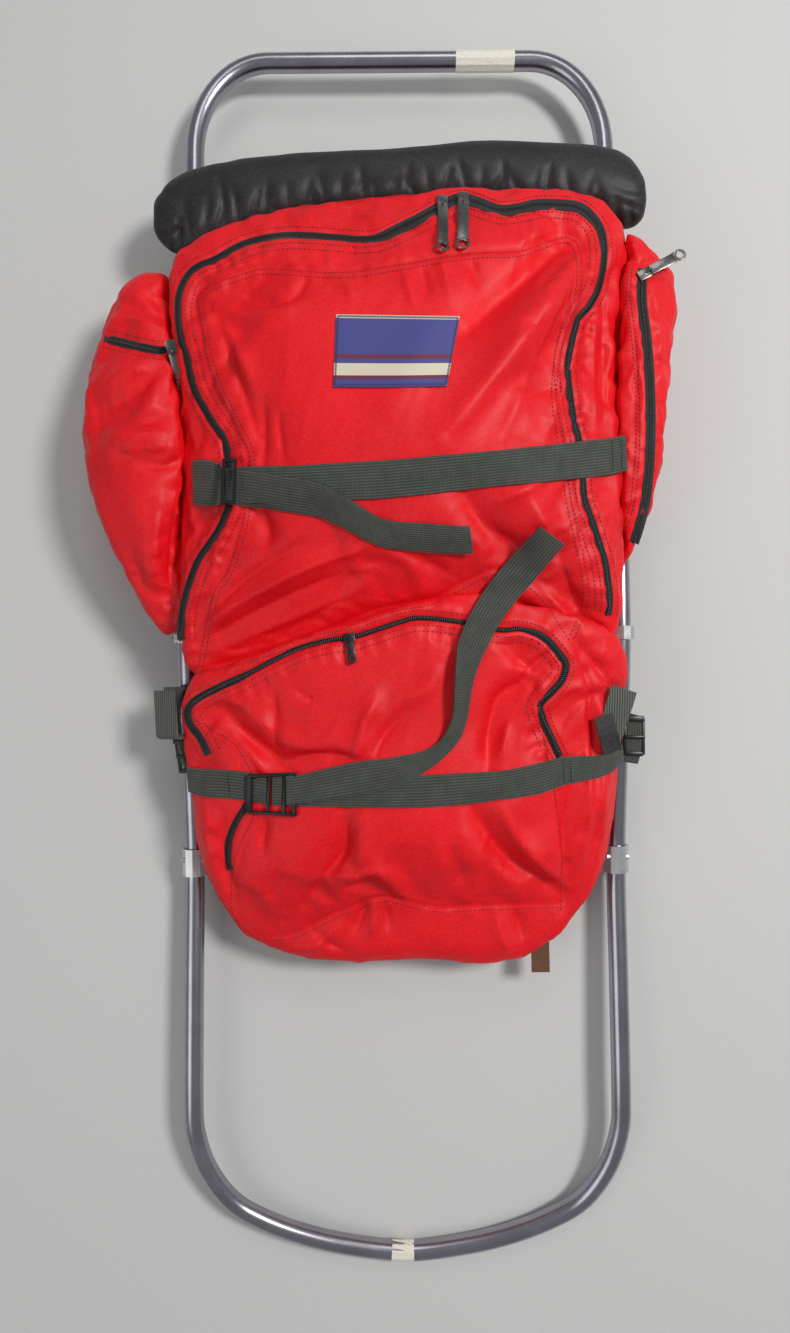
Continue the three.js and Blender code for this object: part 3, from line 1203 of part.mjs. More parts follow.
function label() {
  const bag = BAGS.upper;
  const [cx, cy] = inBag(bag, LABEL_PLACE.x, LABEL_PLACE.y);
  const [nu, nv] = [7, 4];
  const grid = (lift) =>
    Array.from({ length: nv + 1 }, (_, j) => {
      const v = j / nv - 0.5;
      const width = LABEL_BOTTOM_WIDTH + (LABEL_TOP_WIDTH - LABEL_BOTTOM_WIDTH) * (v + 0.5);
      return Array.from({ length: nu + 1 }, (_, i) => {
        const x = cx + width * (i / nu - 0.5) + v * LABEL_PLACE.slant * LABEL_HEIGHT;
        const y = cy + v * LABEL_HEIGHT;
        return new THREE.Vector3(x, y, heightAt(x, y) + lift);
      });
    });
  const [below, above] = [grid(GAP), grid(GAP + LABEL_THICKNESS)];
  return slab(below, above);
}

// A thin closed sheet between two grids of points.
function slab(below, above) {
  const [rows, columns] = [below.length, below[0].length];
  const points = [...below.flat(), ...above.flat()];
  const index = [];
  const quad = (a, b, c, d) => index.push(a, b, c, a, c, d);
  const at = (layer, j, i) => (layer * rows + j) * columns + i;
  for (let j = 0; j + 1 < rows; j++) {
    for (let i = 0; i + 1 < columns; i++) {
      quad(at(1, j, i), at(1, j, i + 1), at(1, j + 1, i + 1), at(1, j + 1, i));
      quad(at(0, j, i), at(0, j + 1, i), at(0, j + 1, i + 1), at(0, j, i + 1));
    }
  }
  for (let i = 0; i + 1 < columns; i++) {
    quad(at(0, 0, i), at(0, 0, i + 1), at(1, 0, i + 1), at(1, 0, i));
    quad(at(0, rows - 1, i + 1), at(0, rows - 1, i), at(1, rows - 1, i), at(1, rows - 1, i + 1));
  }
  for (let j = 0; j + 1 < rows; j++) {
    const last = columns - 1;
    quad(at(0, j + 1, 0), at(0, j, 0), at(1, j, 0), at(1, j + 1, 0));
    quad(at(0, j, last), at(0, j + 1, last), at(1, j + 1, last), at(1, j, last));
  }
  const geometry = new THREE.BufferGeometry().setFromPoints(points);
  geometry.setIndex(index);
  geometry.computeVertexNormals();
  return geometry;
}

// Harness, under the frame

// Each shoulder strap from the top crossbar to its lower end: across is a share of the half width, drop and
// lift are lengths from the top bar and from the underside of the frame's top crossbar to the floor.
const SHOULDER_ROWS = [
  { across: 0.3, drop: 0.0, lift: 1.0 },
  { across: 0.32, drop: 0.1, lift: 0.86 },
  { across: 0.38, drop: 0.26, lift: 0.4 },
  { across: 0.46, drop: 0.42, lift: 0.06 },
  { across: 0.54, drop: 0.6, lift: 0 },
  { across: 0.6, drop: 0.78, lift: 0 },
  { across: 0.61, drop: 1.0, lift: 0 },
];

function shoulderStrap(side) {
  const startY = topY - CROSSBAR_TOP_DROP;
  const highest = frameLift(startY) - CROSSBAR_OD / 2 - GAP - PAD_THICKNESS / 2;
  const lowest = PAD_THICKNESS / 2;
  const knots = SHOULDER_ROWS.map(({ across, drop, lift }) => {
    const z = lowest + (highest - lowest) * lift;
    return new THREE.Vector3(side * across * halfFrame, startY + CROSSBAR_OD / 2 - drop * SHOULDER_LENGTH, z);
  });
  const points = new THREE.CatmullRomCurve3(knots).getSpacedPoints(11);
  points.forEach((p) => (p.z = Math.max(p.z, lowest)));
  const across = acrossPath(points);
  const rings = points.map((p, i) => {
    const ends = Math.min(1, 0.72 + 0.28 * Math.min(i, 11 - i));
    const [w, h] = [(PAD_WIDTH / 2) * ends, PAD_THICKNESS / 2];
    const before = points[Math.max(i - 1, 0)];
    const after = points[Math.min(i + 1, 11)];
    const up = after.clone().sub(before).normalize().cross(across[i]).negate();
    if (up.z < 0) up.negate();
    return [
      [-1, -0.4],
      [-0.85, -1],
      [0.85, -1],
      [1, -0.4],
      [1, 0.4],
      [0.85, 1],
      [-0.85, 1],
      [-1, 0.4],
    ].map(([x, y]) => {
      const q = p.clone().addScaledVector(across[i], x * w).addScaledVector(up, y * h);
      q.z = Math.max(q.z, 0);
      return q;
    });
  });
  const pad = toSolid(loft(rings));
  const last = points[11];
  const tubeX = halfFrame - tubeR - GAP;
  const tubeY = last.y - 6;
  const from = new THREE.Vector3(side * (Math.abs(last.x) + PAD_WIDTH * 0.2), last.y + 12, lowest);
  const to = new THREE.Vector3(side * tubeX, tubeY, frameLift(tubeY));
  const path = new THREE.CatmullRomCurve3([
    from,
    from.clone().lerp(to, 0.5).setZ(from.z + (to.z - from.z) * 0.35),
    to,
  ]).getSpacedPoints(8);
  const edge = new THREE.Vector3(0, 1, 0).multiplyScalar(WEB_WIDTH / 2);
  const lace = path.map((p, i) => {
    const run = path[Math.min(i + 1, 8)].clone().sub(path[Math.max(i - 1, 0)]).normalize();
    const up = run.cross(new THREE.Vector3(0, 1, 0)).normalize();
    if (up.z < 0) up.negate();
    return { a: p.clone().sub(edge), b: p.clone().add(edge), up };
  });
  return pad.add(toSolid(webbing(lace)).subtract(toSolid(roundBar(upperStations, tubeR + GAP, TUBE_SIDES))));
}

// The hip belt: a padded loop, closed by its buckle, lying flat between the tubes and the floor.
function hipBelt() {
  const start = topY - BELT_TOP_DROP;
  const steps = 4;
  const half = halfFrame + 5;
  const ring = (y, inset) => {
    const top = frameLift(y) - tubeR - GAP - inset;
    const bottom = inset;
    const x = half - inset;
    const r = Math.min(9, (top - bottom) / 2.2);
    const corners = [];
    for (const [sx, sz] of [
      [1, -1],
      [1, 1],
      [-1, 1],
      [-1, -1],
    ]) {
      for (let k = 0; k <= 2; k++) {
        const turned = Math.atan2(sz, sx) + (k - 1) * (Math.PI / 4);
        const cx = sx * (x - r);
        const cz = sz > 0 ? top - r : bottom + r;
        corners.push(new THREE.Vector3(cx + r * Math.cos(turned), y, cz + r * Math.sin(turned)));
      }
    }
    return corners;
  };
  const ys = Array.from({ length: steps + 1 }, (_, i) => start - (BELT_HEIGHT * i) / steps);
  const outer = toSolid(loft(ys.map((y) => ring(y, 0))));
  const longer = ys.map((y, i) => (i === 0 ? y + 1 : i === steps ? y - 1 : y));
  let belt = outer.subtract(toSolid(loft(longer.map((y) => ring(y, BELT_THICKNESS)))));
  const gap = new THREE.BoxGeometry(BELT_BUCKLE_WIDTH + 2 * GAP, BELT_HEIGHT + 4, 2 * BELT_THICKNESS + 1);
  belt = belt.subtract(toSolid(gap.translate(0, start - BELT_HEIGHT / 2, 0)));
  const buckle = new THREE.BoxGeometry(BELT_BUCKLE_WIDTH, BELT_BUCKLE_HEIGHT, BELT_THICKNESS - 2 * GAP);
  buckle.translate(0, start - BELT_HEIGHT / 2, BELT_THICKNESS / 2);
  return { belt: belt.subtract(fatTube(GAP)), buckle };
}

// The back band, stretched across behind the tubes.
function backBand() {
  const start = topY - BAND_DROP;
  const half = halfFrame + 4;
  const steps = 5;
  const rings = Array.from({ length: steps + 1 }, (_, i) => {
    const y = start - (BAND_HEIGHT * i) / steps;
    const top = frameLift(y) - tubeR - GAP;
    return [
      [-half, top - BAND_THICKNESS],
      [half, top - BAND_THICKNESS],
      [half, top],
      [-half, top],
    ].map(([x, z]) => new THREE.Vector3(x, y, z));
  });
  return toSolid(loft(rings)).subtract(fatTube(GAP));
}

// The leather tab at the bag's bottom edge.

function bottomTab() {
  const [x, y] = inBag(BAGS.lower, TAB.x, TAB.y);
  const geometry = new THREE.BoxGeometry(TAB.width, TAB.length, TAB.thickness);
  geometry.rotateX(Math.atan2(frameLift(y + 10) - frameLift(y - 10), 20));
  geometry.translate(x, y, backHeight(BAGS.lower, y) - GAP - TAB.thickness / 2 - 0.2);
  return clearOfBags(toSolid(geometry), GAP);
}

const { belt, buckle } = hipBelt();

// Colours and assembly

const FINISHES = {
  nylon: { color: 0xd81c24, roughness: 0.6, metalness: 0 },
  black: { color: 0x29272b, roughness: 0.75, metalness: 0 },
  webbing: { color: 0x3c4038, roughness: 0.85, metalness: 0 },
  tube: { color: 0x6b6974, roughness: 0.3, metalness: 0.9 },
  silver: { color: 0xc8c8c8, roughness: 0.4, metalness: 0.8 },
  tape: { color: 0xe6e2d4, roughness: 0.8, metalness: 0 },
  zip: { color: 0x1a1a1c, roughness: 0.7, metalness: 0 },
  nickel: { color: 0x8d8b88, roughness: 0.35, metalness: 0.9 },
  label: { color: 0x4b4b8c, roughness: 0.8, metalness: 0 },
  leather: { color: 0x6a4630, roughness: 0.8, metalness: 0 },
};

const PIECES = {
  upper_hoop: [upperHoop, "tube"],
  lower_hoop: [lowerHoop, "tube"],
  crossbar_top: [crossbar(topY - CROSSBAR_TOP_DROP), "tube"],
  crossbar_middle: [crossbar(topY - CROSSBAR_MIDDLE_DROP), "tube"],
  crossbar_lumbar: [crossbar(topY - CROSSBAR_LUMBAR_DROP), "tube"],
  collar_joint_left: [collar(-1, jointY, COLLAR_LENGTH, true), "silver"],
  collar_joint_right: [collar(1, jointY, COLLAR_LENGTH, true), "silver"],
  collar_middle_left: [collar(-1, topY - COLLAR_MIDDLE_DROP, COLLAR_MIDDLE_LENGTH, false), "silver"],
  collar_middle_right: [collar(1, topY - COLLAR_MIDDLE_DROP, COLLAR_MIDDLE_LENGTH, false), "silver"],
  tape_top: [tape(upperStations, TAPE_TOP_X, TAPE_TOP_LENGTH), "tape"],
  tape_bottom: [tape(lowerStations, TAPE_BOTTOM_X, TAPE_BOTTOM_LENGTH), "tape"],
  upper_bag: [main.shell, "nylon"],
  lower_bag: [low.shell, "nylon"],
  left_pocket: [leftZip.shell, "nylon"],
  right_pocket: [rightZip.shell, "nylon"],
  collar_roll: [roll, "black"],
  main_zip: [main.zip, "zip"],
  lower_zip: [low.zip, "zip"],
  left_pocket_zip: [leftZip.zip, "zip"],
  right_pocket_zip: [rightZip.zip, "zip"],
  main_pull_left: [pulls.main_pull_left, "nickel"],
  main_pull_right: [pulls.main_pull_right, "nickel"],
  lower_pull: [pulls.lower_pull, "zip"],
  left_pocket_pull: [pulls.left_pocket_pull, "nickel"],
  right_pocket_pull: [pulls.right_pocket_pull, "nickel"],
  label_patch: [toSolid(label()).subtract(body("upper", GAP / 2)), "label"],
  upper_strap: [upperStrapMesh, "webbing"],
  upper_anchor: [upperAnchor, "webbing"],
  upper_ring: [upperRing, "zip"],
  lower_strap: [lowerStrapMesh, "webbing"],
  lower_strap_left: [lowerShort, "webbing"],
  lower_buckle: [lowerLadder, "zip"],
  left_loop: [leftLoop, "webbing"],
  left_buckle: [sideBuckle(-1, 609, -8, 12, -0.5), "zip"],
  right_loop: [rightLoopMesh, "webbing"],
  right_keeper: [rightKeeper, "black"],
  right_buckle: [sideBuckle(1, 592, 0, 9, 0.6), "zip"],
  shoulder_strap_left: [shoulderStrap(-1), "black"],
  shoulder_strap_right: [shoulderStrap(1), "black"],
  hip_belt: [belt, "black"],
  belt_buckle: [buckle, "zip"],
  back_band: [backBand(), "black"],
  bottom_tab: [bottomTab(), "leather"],
};

// A cut can leave a sliver beside the piece itself.
function largest(solid) {
  return solid.decompose().sort((a, b) => b.volume() - a.volume())[0];
}

const group = new THREE.Group();
for (const [name, [shape, finish]] of Object.entries(PIECES)) {
  const solid = largest(shape.isBufferGeometry ? toSolid(shape) : shape);
  const geometry = toGeometry(toSolid(toGeometry(solid)).simplify(FINENESS));
  const mesh = new THREE.Mesh(geometry, new THREE.MeshStandardMaterial(FINISHES[finish]));
  mesh.name = name;
  group.add(mesh);
}

// The origin is on the floor, under the middle of the whole.
const bounds = new THREE.Box3().setFromObject(group);
group.position.set(-(bounds.min.x + bounds.max.x) / 2, -(bounds.min.y + bounds.max.y) / 2, -bounds.min.z);

export default group;
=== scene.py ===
# %% [markdown]
# # A red pack on a tube frame
#
# The object is a hiking pack that lies on its harness: a bent aluminium frame, two zipped nylon bags one
# above the other, a pocket on each side, a padded collar roll, and two webbing straps across the front. The
# hard parts already exist as a CAD frame. This lesson dresses that frame: it makes the cloth, the zips,
# the webbing and the stitches, and gives every surface the finish of the real material.

# %% Load the frame
import math

import bpy
import numpy as np
from mathutils import Matrix, Vector, noise
from mathutils.bvhtree import BVHTree


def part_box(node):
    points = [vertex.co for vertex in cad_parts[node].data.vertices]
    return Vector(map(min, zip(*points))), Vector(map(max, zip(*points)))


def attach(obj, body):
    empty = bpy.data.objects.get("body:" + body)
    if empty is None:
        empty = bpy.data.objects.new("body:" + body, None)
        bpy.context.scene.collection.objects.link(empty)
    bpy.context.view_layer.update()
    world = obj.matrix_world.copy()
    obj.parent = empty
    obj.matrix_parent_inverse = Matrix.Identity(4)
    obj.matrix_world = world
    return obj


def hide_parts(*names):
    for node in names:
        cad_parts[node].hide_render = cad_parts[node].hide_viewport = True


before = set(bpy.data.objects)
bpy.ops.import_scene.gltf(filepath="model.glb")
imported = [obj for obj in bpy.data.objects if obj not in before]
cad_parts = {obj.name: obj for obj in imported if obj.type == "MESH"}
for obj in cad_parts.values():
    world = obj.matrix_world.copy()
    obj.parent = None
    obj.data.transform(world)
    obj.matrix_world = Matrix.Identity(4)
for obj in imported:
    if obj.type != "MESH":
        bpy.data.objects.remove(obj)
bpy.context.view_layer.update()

BODY = "root"
MM = 0.001
WELD = 0.02 * MM  # points closer than this become one
print("frame nodes:", len(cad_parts))

# %% [markdown]
# ## A few short helpers
#
# Blender's operators work on what is selected, as by hand, so one helper selects a single object and another
# adds and applies a modifier. Two more read and write all of a mesh's points at once, which is far quicker
# than a loop when a bag has tens of thousands of them.

# %% Helpers for objects


def pick(obj):
    bpy.ops.object.select_all(action="DESELECT")
    obj.select_set(True)
    bpy.context.view_layer.objects.active = obj


def merge(name, objects):
    """Joins several objects into the first of them."""
    bpy.ops.object.select_all(action="DESELECT")
    for obj in objects:
        obj.select_set(True)
    bpy.context.view_layer.objects.active = objects[0]
    if len(objects) > 1:
        bpy.ops.object.join()
    objects[0].name = name
    objects[0].data.name = name
    return objects[0]


def finish_with(obj, kind, **settings):
    pick(obj)
    modifier = obj.modifiers.new(kind, kind)
    for key, value in settings.items():
        setattr(modifier, key, value)
    bpy.ops.object.modifier_apply(modifier=modifier.name)
    return obj


def get_points(obj):
    flat = np.empty(len(obj.data.vertices) * 3)
    obj.data.vertices.foreach_get("co", flat)
    return flat.reshape(-1, 3)


def set_points(obj, points):
    obj.data.vertices.foreach_set("co", np.asarray(points, dtype=float).ravel())
    obj.data.update()
    return obj


def get_normals(obj):
    flat = np.empty(len(obj.data.vertices) * 3)
    obj.data.vertices.foreach_get("normal", flat)
    return flat.reshape(-1, 3)


def new_primitive(name, add, **settings):
    bpy.ops.object.select_all(action="DESELECT")
    add(**settings)
    obj = bpy.context.active_object
    obj.name = name
    obj.data.name = name
    return obj


def settle(obj):
    """Puts an object's place into its mesh, so that the object itself stands at the origin."""
    pick(obj)
    bpy.ops.object.transform_apply(location=True, rotation=True, scale=True)
    return obj


def coat(obj, material, sharp=None):
    """One material over the whole mesh, shaded smooth, but for edges over sharp degrees if that is given."""
    obj.data.materials.clear()
    obj.data.materials.append(material)
    if sharp is None:
        obj.data.polygons.foreach_set("use_smooth", [True] * len(obj.data.polygons))
    else:
        pick(obj)
        bpy.ops.object.shade_smooth_by_angle(angle=math.radians(sharp))
    return obj


def copy_node(name, *nodes):
    """A merged copy of CAD nodes as a new object."""
    copies = []
    for node_name in nodes:
        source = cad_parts[node_name]
        copy = source.copy()
        copy.data = source.data.copy()
        bpy.context.collection.objects.link(copy)
        copies.append(copy)
    obj = merge(name, copies)
    for key in list(obj.keys()):
        del obj[key]
    bpy.ops.object.mode_set(mode="EDIT")
    bpy.ops.mesh.select_all(action="SELECT")
    bpy.ops.mesh.remove_doubles(threshold=WELD)
    bpy.ops.object.mode_set(mode="OBJECT")
    return obj


def done(obj, slot, *nodes):
    """Fastens a finished piece to the body and hides the CAD nodes that it stands for. Its colour slot is not
    used.
    """
    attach(obj, BODY)
    if nodes:
        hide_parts(*nodes)
    return obj


# %% [markdown]
# ## The camera
#
# The view is the photograph's: from above, leaning 2.5 degrees and turned half a degree. The camera stands
# 774 mm over the floor. Its numbers are the result of fitting the frame's known width and length, and
# many places below are given as pixels of that view: a ray through the pixel finds the point on the cloth.

# %% Set up the camera
PHOTO = (790, 1333)
FOCAL = 870.0  # in pixels
TILT, ROLL = 0.04380899, -0.008205  # in radians
SENSOR = 36  # in millimetres
X = Vector((1, 0, 0))
Z = Vector((0, 0, 1))

top_low, top_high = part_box("upper_hoop")
foot_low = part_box("lower_hoop")[0]
MIDDLE = Vector(((top_low.x + top_high.x) / 2, (top_high.y + foot_low.y) / 2, foot_low.z - 0.0001))
EYE = MIDDLE + Vector((-0.00757, -0.04991, 0.77435))
LOOK = Vector((0, math.sin(TILT), -math.cos(TILT)))
upright = Vector((0, math.cos(TILT), math.sin(TILT)))
RIGHT = X * math.cos(ROLL) + upright * math.sin(ROLL)
UP = upright * math.cos(ROLL) - X * math.sin(ROLL)

bpy.ops.object.camera_add()
camera = bpy.context.active_object
camera.name = "photo_camera"
camera.matrix_world = Matrix.Translation(EYE) @ Matrix((RIGHT, UP, -LOOK)).transposed().to_4x4()
camera.data.sensor_fit = "VERTICAL"
camera.data.sensor_height = SENSOR
camera.data.lens = FOCAL / PHOTO[1] * SENSOR
camera.data.clip_end = 20
bpy.context.scene.camera = camera
print("camera lens", round(camera.data.lens, 2), "mm")


# %% Between pixels and places
OFF_SKIN = 0.06  # the height used where a line starts beside the skin


def pixel_ray(u, v):
    return (LOOK * FOCAL + RIGHT * (u - PHOTO[0] / 2) + UP * (PHOTO[1] / 2 - v)).normalized()


def to_pixels(points):
    """Where points of the object show in the view, for a whole array at once."""
    rel = np.asarray(points) - np.array(EYE)
    depth = rel @ np.array(LOOK)
    u = PHOTO[0] / 2 + FOCAL * (rel @ np.array(RIGHT)) / depth
    v = PHOTO[1] / 2 - FOCAL * (rel @ np.array(UP)) / depth
    return np.stack([u, v], axis=1)


def at_height(u, v, z):
    ray = pixel_ray(u, v)
    return EYE + ray * ((z - EYE.z) / ray.z)


def tree_of(*objects):
    """One search tree for the skins of several objects."""
    points, faces, start = [], [], 0
    for obj in objects:
        co = get_points(obj)
        points.extend(Vector(p) for p in co)
        faces.extend([tuple(start + i for i in poly.vertices) for poly in obj.data.polygons])
        start += len(co)
    return BVHTree.FromPolygons(points, faces)


def spline(rows, step):
    """A smooth line through rows of numbers, with points about one step apart in the first two columns."""
    rows = np.asarray(rows, dtype=float)
    if len(rows) == 2:
        count = max(2, int(np.hypot(*(rows[1] - rows[0])[:2]) / step) + 1)
        return np.linspace(rows[0], rows[1], count)
    ends = [2 * rows[0] - rows[1], *rows, 2 * rows[-1] - rows[-2]]
    fine = []
    for a, b, c, d in zip(ends, ends[1:], ends[2:], ends[3:]):
        t = np.linspace(0, 1, 12, endpoint=False)[:, None]
        square, cube = 2 * a - 5 * b + 4 * c - d, 3 * b - a - 3 * c + d
        fine.append(0.5 * (2 * b + (c - a) * t + square * t**2 + cube * t**3))
    fine = np.vstack([*fine, rows[-1:]])
    gone = np.concatenate([[0], np.cumsum(np.hypot(*np.diff(fine[:, :2], axis=0).T))])
    count = max(2, int(round(gone[-1] / step)) + 1)
    want = np.linspace(0, gone[-1], count)
    return np.stack([np.interp(want, gone, column) for column in fine.T], axis=1)


def lay_on(tree, pixels, lift):
    """Points on a skin under a row of pixels, with the skin's normals there."""
    points, normals = [], []
    last, last_n = None, Z
    for u, v in np.asarray(pixels)[:, :2]:
        hit, normal, _, _ = tree.ray_cast(EYE, pixel_ray(u, v))
        if hit is None:
            hit = at_height(u, v, last.z if last is not None else OFF_SKIN)
            normal = last_n
        elif normal.dot(pixel_ray(u, v)) > 0:
            normal = -normal
        points.append(hit + normal * lift)
        normals.append(normal)
        last, last_n = hit, normal
    return points, normals


def facing(normals, gain):
    """How much the skin faces the view, from 0 at its outline to 1."""
    return np.clip((normals @ -np.array(LOOK)) * gain, 0, 1)


def sideways(line):
    """For every point of a line of pixels, a step of one pixel across it."""
    run = np.gradient(line, axis=0)
    run /= np.maximum(np.hypot(run[:, 0], run[:, 1]), 1e-9)[:, None]
    return np.stack([-run[:, 1], run[:, 0]], axis=1)


def turned(place, ahead, up):
    """A matrix at a place, with Y along ahead and Z as near to up as that allows."""
    side = ahead.cross(up).normalized()
    axes = Matrix((side, ahead, side.cross(ahead).normalized())).transposed().to_4x4()
    return Matrix.Translation(place) @ axes


# %% [markdown]
# ## Floor and light
#
# The pack lies on a plain pale floor. In the photograph the frame's shadow falls a little to its left, so
# the main light is a soft one, half a metre wide, high up on the right. Weaker ones fill the shadows.

# %% Floor and light
floor = new_primitive("floor", bpy.ops.mesh.primitive_plane_add, size=12, location=(0, 0, 0))


def soft_light(name, place, size, watts):
    bpy.ops.object.light_add(type="AREA", location=place)
    light = bpy.context.active_object
    light.name = name
    light.data.shape = "DISK"
    light.data.size = size
    light.data.energy = watts
    light.rotation_euler = (-Vector(place)).to_track_quat("-Z", "Y").to_euler()


soft_light("key_light", (1.2, 0.5, 1.9), 0.5, 33)
soft_light("fill_light", (-1.6, -0.9, 1.8), 1.6, 9)
soft_light("top_light", (0.1, 1.8, 1.9), 1.0, 6)
world = bpy.context.scene.world or bpy.data.worlds.new("studio")
bpy.context.scene.world = world
world.use_nodes = True
sky = world.node_tree.nodes["Background"]
sky.inputs["Color"].default_value = (0.75, 0.77, 0.8, 1)
sky.inputs["Strength"].default_value = 0.34
bpy.context.scene.view_settings.view_transform = "Standard"

# %% [markdown]
# ## A language for materials
#
# Every finish starts from the real material, so its colour is written as the usual sRGB hex value and turned
# into Blender's linear numbers by one function. Another adds a node with its settings and its links.

# %% Helpers for materials
BAND_SCALE = 0.314  # a wave texture of scale 1 has one band every 0.314 units


def linear(hex_value):
    parts = [int(hex_value[i : i + 2], 16) / 255 for i in (1, 3, 5)]
    return tuple(p / 12.92 if p <= 0.04045 else ((p + 0.055) / 1.055) ** 2.4 for p in parts) + (1.0,)


def node(material, kind, values=None, stops=(), **settings):
    """Adds one node. values are its sockets by name: a number or colour is set, another socket is linked.
    stops are a colour ramp's pairs of (place, hex colour)."""
    made = material.node_tree.nodes.new(kind)
    for key, value in settings.items():
        setattr(made, key, value)
    for key, value in (values or {}).items():
        socket = made.inputs[key]
        if isinstance(value, bpy.types.NodeSocket):
            material.node_tree.links.new(value, socket)
        else:
            socket.default_value = value
    if stops:
        elements = made.color_ramp.elements
        while len(elements) < len(stops):
            elements.new(0.5)
        for element, (place, colour) in zip(elements, stops):
            element.position = place
            element.color = linear(colour)
    return made


def new_material(name, **sockets):
    material = bpy.data.materials.new(name)
    material.use_nodes = True
    shader = material.node_tree.nodes["Principled BSDF"]
    for key, value in sockets.items():
        shader.inputs[key.replace("_", " ")].default_value = value
    return material, shader


def plain(name, colour, **sockets):
    """A material of one colour."""
    material, shader = new_material(name, **sockets)
    shader.inputs["Base Color"].default_value = linear(colour)
    return material


def link(material, output, socket):
    material.node_tree.links.new(output, socket)


# %% [markdown]
# ### Pack nylon
#
# The bags are coated nylon pack cloth: a tight plain weave with a satin face, so broad soft highlights run
# along each fold. The real threads are about 0.4 mm apart, too fine for the picture, so they are drawn about
# three times as coarse. A slow noise gives the uneven dye and wear of a used bag.

# %% Nylon


def pack_nylon(name, dark, mid, light, thread_mm=1.2, shine=0.52, sheen=0.12, relief=0.16):
    material, shader = new_material(
        name, Roughness=shine, IOR=1.53, Sheen_Weight=sheen, Sheen_Roughness=0.45, Specular_IOR_Level=0.32
    )
    shader.inputs["Sheen Tint"].default_value = linear(light)
    coords = node(material, "ShaderNodeTexCoord").outputs["Object"]
    cloud_values = {"Vector": coords, "Scale": 9, "Detail": 4, "Roughness": 0.6}
    cloud = node(material, "ShaderNodeTexNoise", cloud_values).outputs["Fac"]
    speck_values = {"Vector": coords, "Scale": 420, "Detail": 2}
    speck = node(material, "ShaderNodeTexNoise", speck_values).outputs["Fac"]
    both = node(material, "ShaderNodeMath", {0: cloud, 1: speck}, operation="ADD").outputs[0]
    half = node(material, "ShaderNodeMath", {0: both, 1: 0.5}, operation="MULTIPLY").outputs[0]
    stops = [(0.3, dark), (0.5, mid), (0.68, light)]
    colour = node(material, "ShaderNodeValToRGB", {"Fac": half}, stops)
    link(material, colour.outputs["Color"], shader.inputs["Base Color"])
    thread = {"Vector": coords, "Scale": BAND_SCALE / (thread_mm * MM)}
    weft = node(material, "ShaderNodeTexWave", thread, bands_direction="Y").outputs["Fac"]
    warp = node(material, "ShaderNodeTexWave", thread, bands_direction="X").outputs["Fac"]
    weave = node(material, "ShaderNodeMath", {0: weft, 1: warp}, operation="MULTIPLY").outputs[0]
    crinkle_values = {"Vector": coords, "Scale": 26, "Detail": 3}
    crinkle = node(material, "ShaderNodeTexNoise", crinkle_values).outputs["Fac"]
    fine_values = {"Height": weave, "Strength": relief, "Distance": 0.3 * MM}
    fine = node(material, "ShaderNodeBump", fine_values).outputs["Normal"]
    soft_values = {"Height": crinkle, "Strength": 0.18, "Distance": 1.5 * MM, "Normal": fine}
    soft = node(material, "ShaderNodeBump", soft_values)
    link(material, soft.outputs["Normal"], shader.inputs["Normal"])
    return material


RED_NYLON = pack_nylon("pack_nylon_red", "#cf0612", "#e50c19", "#f41722")
BLACK_NYLON = pack_nylon("pack_nylon_black", "#191819", "#262426", "#343234", shine=0.5, sheen=0.2)
print("nylon:", RED_NYLON.name, BLACK_NYLON.name)

# %% [markdown]
# ### Webbing, zips and thread
#
# The straps are flat woven polypropylene webbing, dark olive grey. Its ribs are about 1.5 mm apart, and are
# drawn 2.1 mm apart so that they show, with threads across them every 1.2 mm. The pattern follows the strap's
# own UV map, so it turns with the strap.

# %% Webbing, zips and thread


def woven(name, low, high, rib_mm, pick_mm, roughness=0.82, relief=0.6):
    """rib_mm and pick_mm: the spacing of the threads across the width and along the length."""
    material, shader = new_material(name, Roughness=roughness, Sheen_Weight=0.2, Sheen_Roughness=0.5)
    uv = node(material, "ShaderNodeTexCoord").outputs["UV"]
    rib_values = {"Vector": uv, "Scale": BAND_SCALE / (rib_mm * MM)}
    pick_values = {"Vector": uv, "Scale": BAND_SCALE / (pick_mm * MM)}
    ribs = node(material, "ShaderNodeTexWave", rib_values, bands_direction="X").outputs["Fac"]
    picks = node(material, "ShaderNodeTexWave", pick_values, bands_direction="Y").outputs["Fac"]
    both = node(material, "ShaderNodeMath", {0: ribs, 1: picks}, operation="MULTIPLY").outputs[0]
    cloud = node(material, "ShaderNodeTexNoise", {"Vector": uv, "Scale": 90, "Detail": 3}).outputs["Fac"]
    tone = node(material, "ShaderNodeMath", {0: both, 1: cloud}, operation="MULTIPLY").outputs[0]
    colour = node(material, "ShaderNodeValToRGB", {"Fac": tone}, [(0.05, low), (0.5, high)])
    link(material, colour.outputs["Color"], shader.inputs["Base Color"])
    raised = node(material, "ShaderNodeBump", {"Height": both, "Strength": relief, "Distance": 0.4 * MM})
    link(material, raised.outputs["Normal"], shader.inputs["Normal"])
    return material


WEBBING = woven("webbing_olive", "#30332e", "#64675c", 2.1, 1.2)
ZIP_TAPE = woven("zip_tape_black", "#0b0b0c", "#1c1c1e", 1.4, 1.0, roughness=0.7)
COIL = plain("nylon_coil_black", "#1b1b1d", Roughness=0.35, IOR=1.53)
THREAD = plain("thread_red", "#6d0810", Roughness=0.6, Sheen_Weight=0.2)
DARK_THREAD = plain("thread_dark", "#1d201c", Roughness=0.6)
EDGE_THREAD = plain("label_edge_thread", "#3d3f66", Roughness=0.6)
print("woven:", WEBBING.name, ZIP_TAPE.name)

# %% [markdown]
# ### Metal and plastic
#
# The tube is anodised aluminium with a grey dye: metallic, satin and slightly mottled. The joint collars are
# bare cast aluminium, dull and bright. The buckles are black acetal, the zip tabs nickel plate.

# %% Metal and plastic


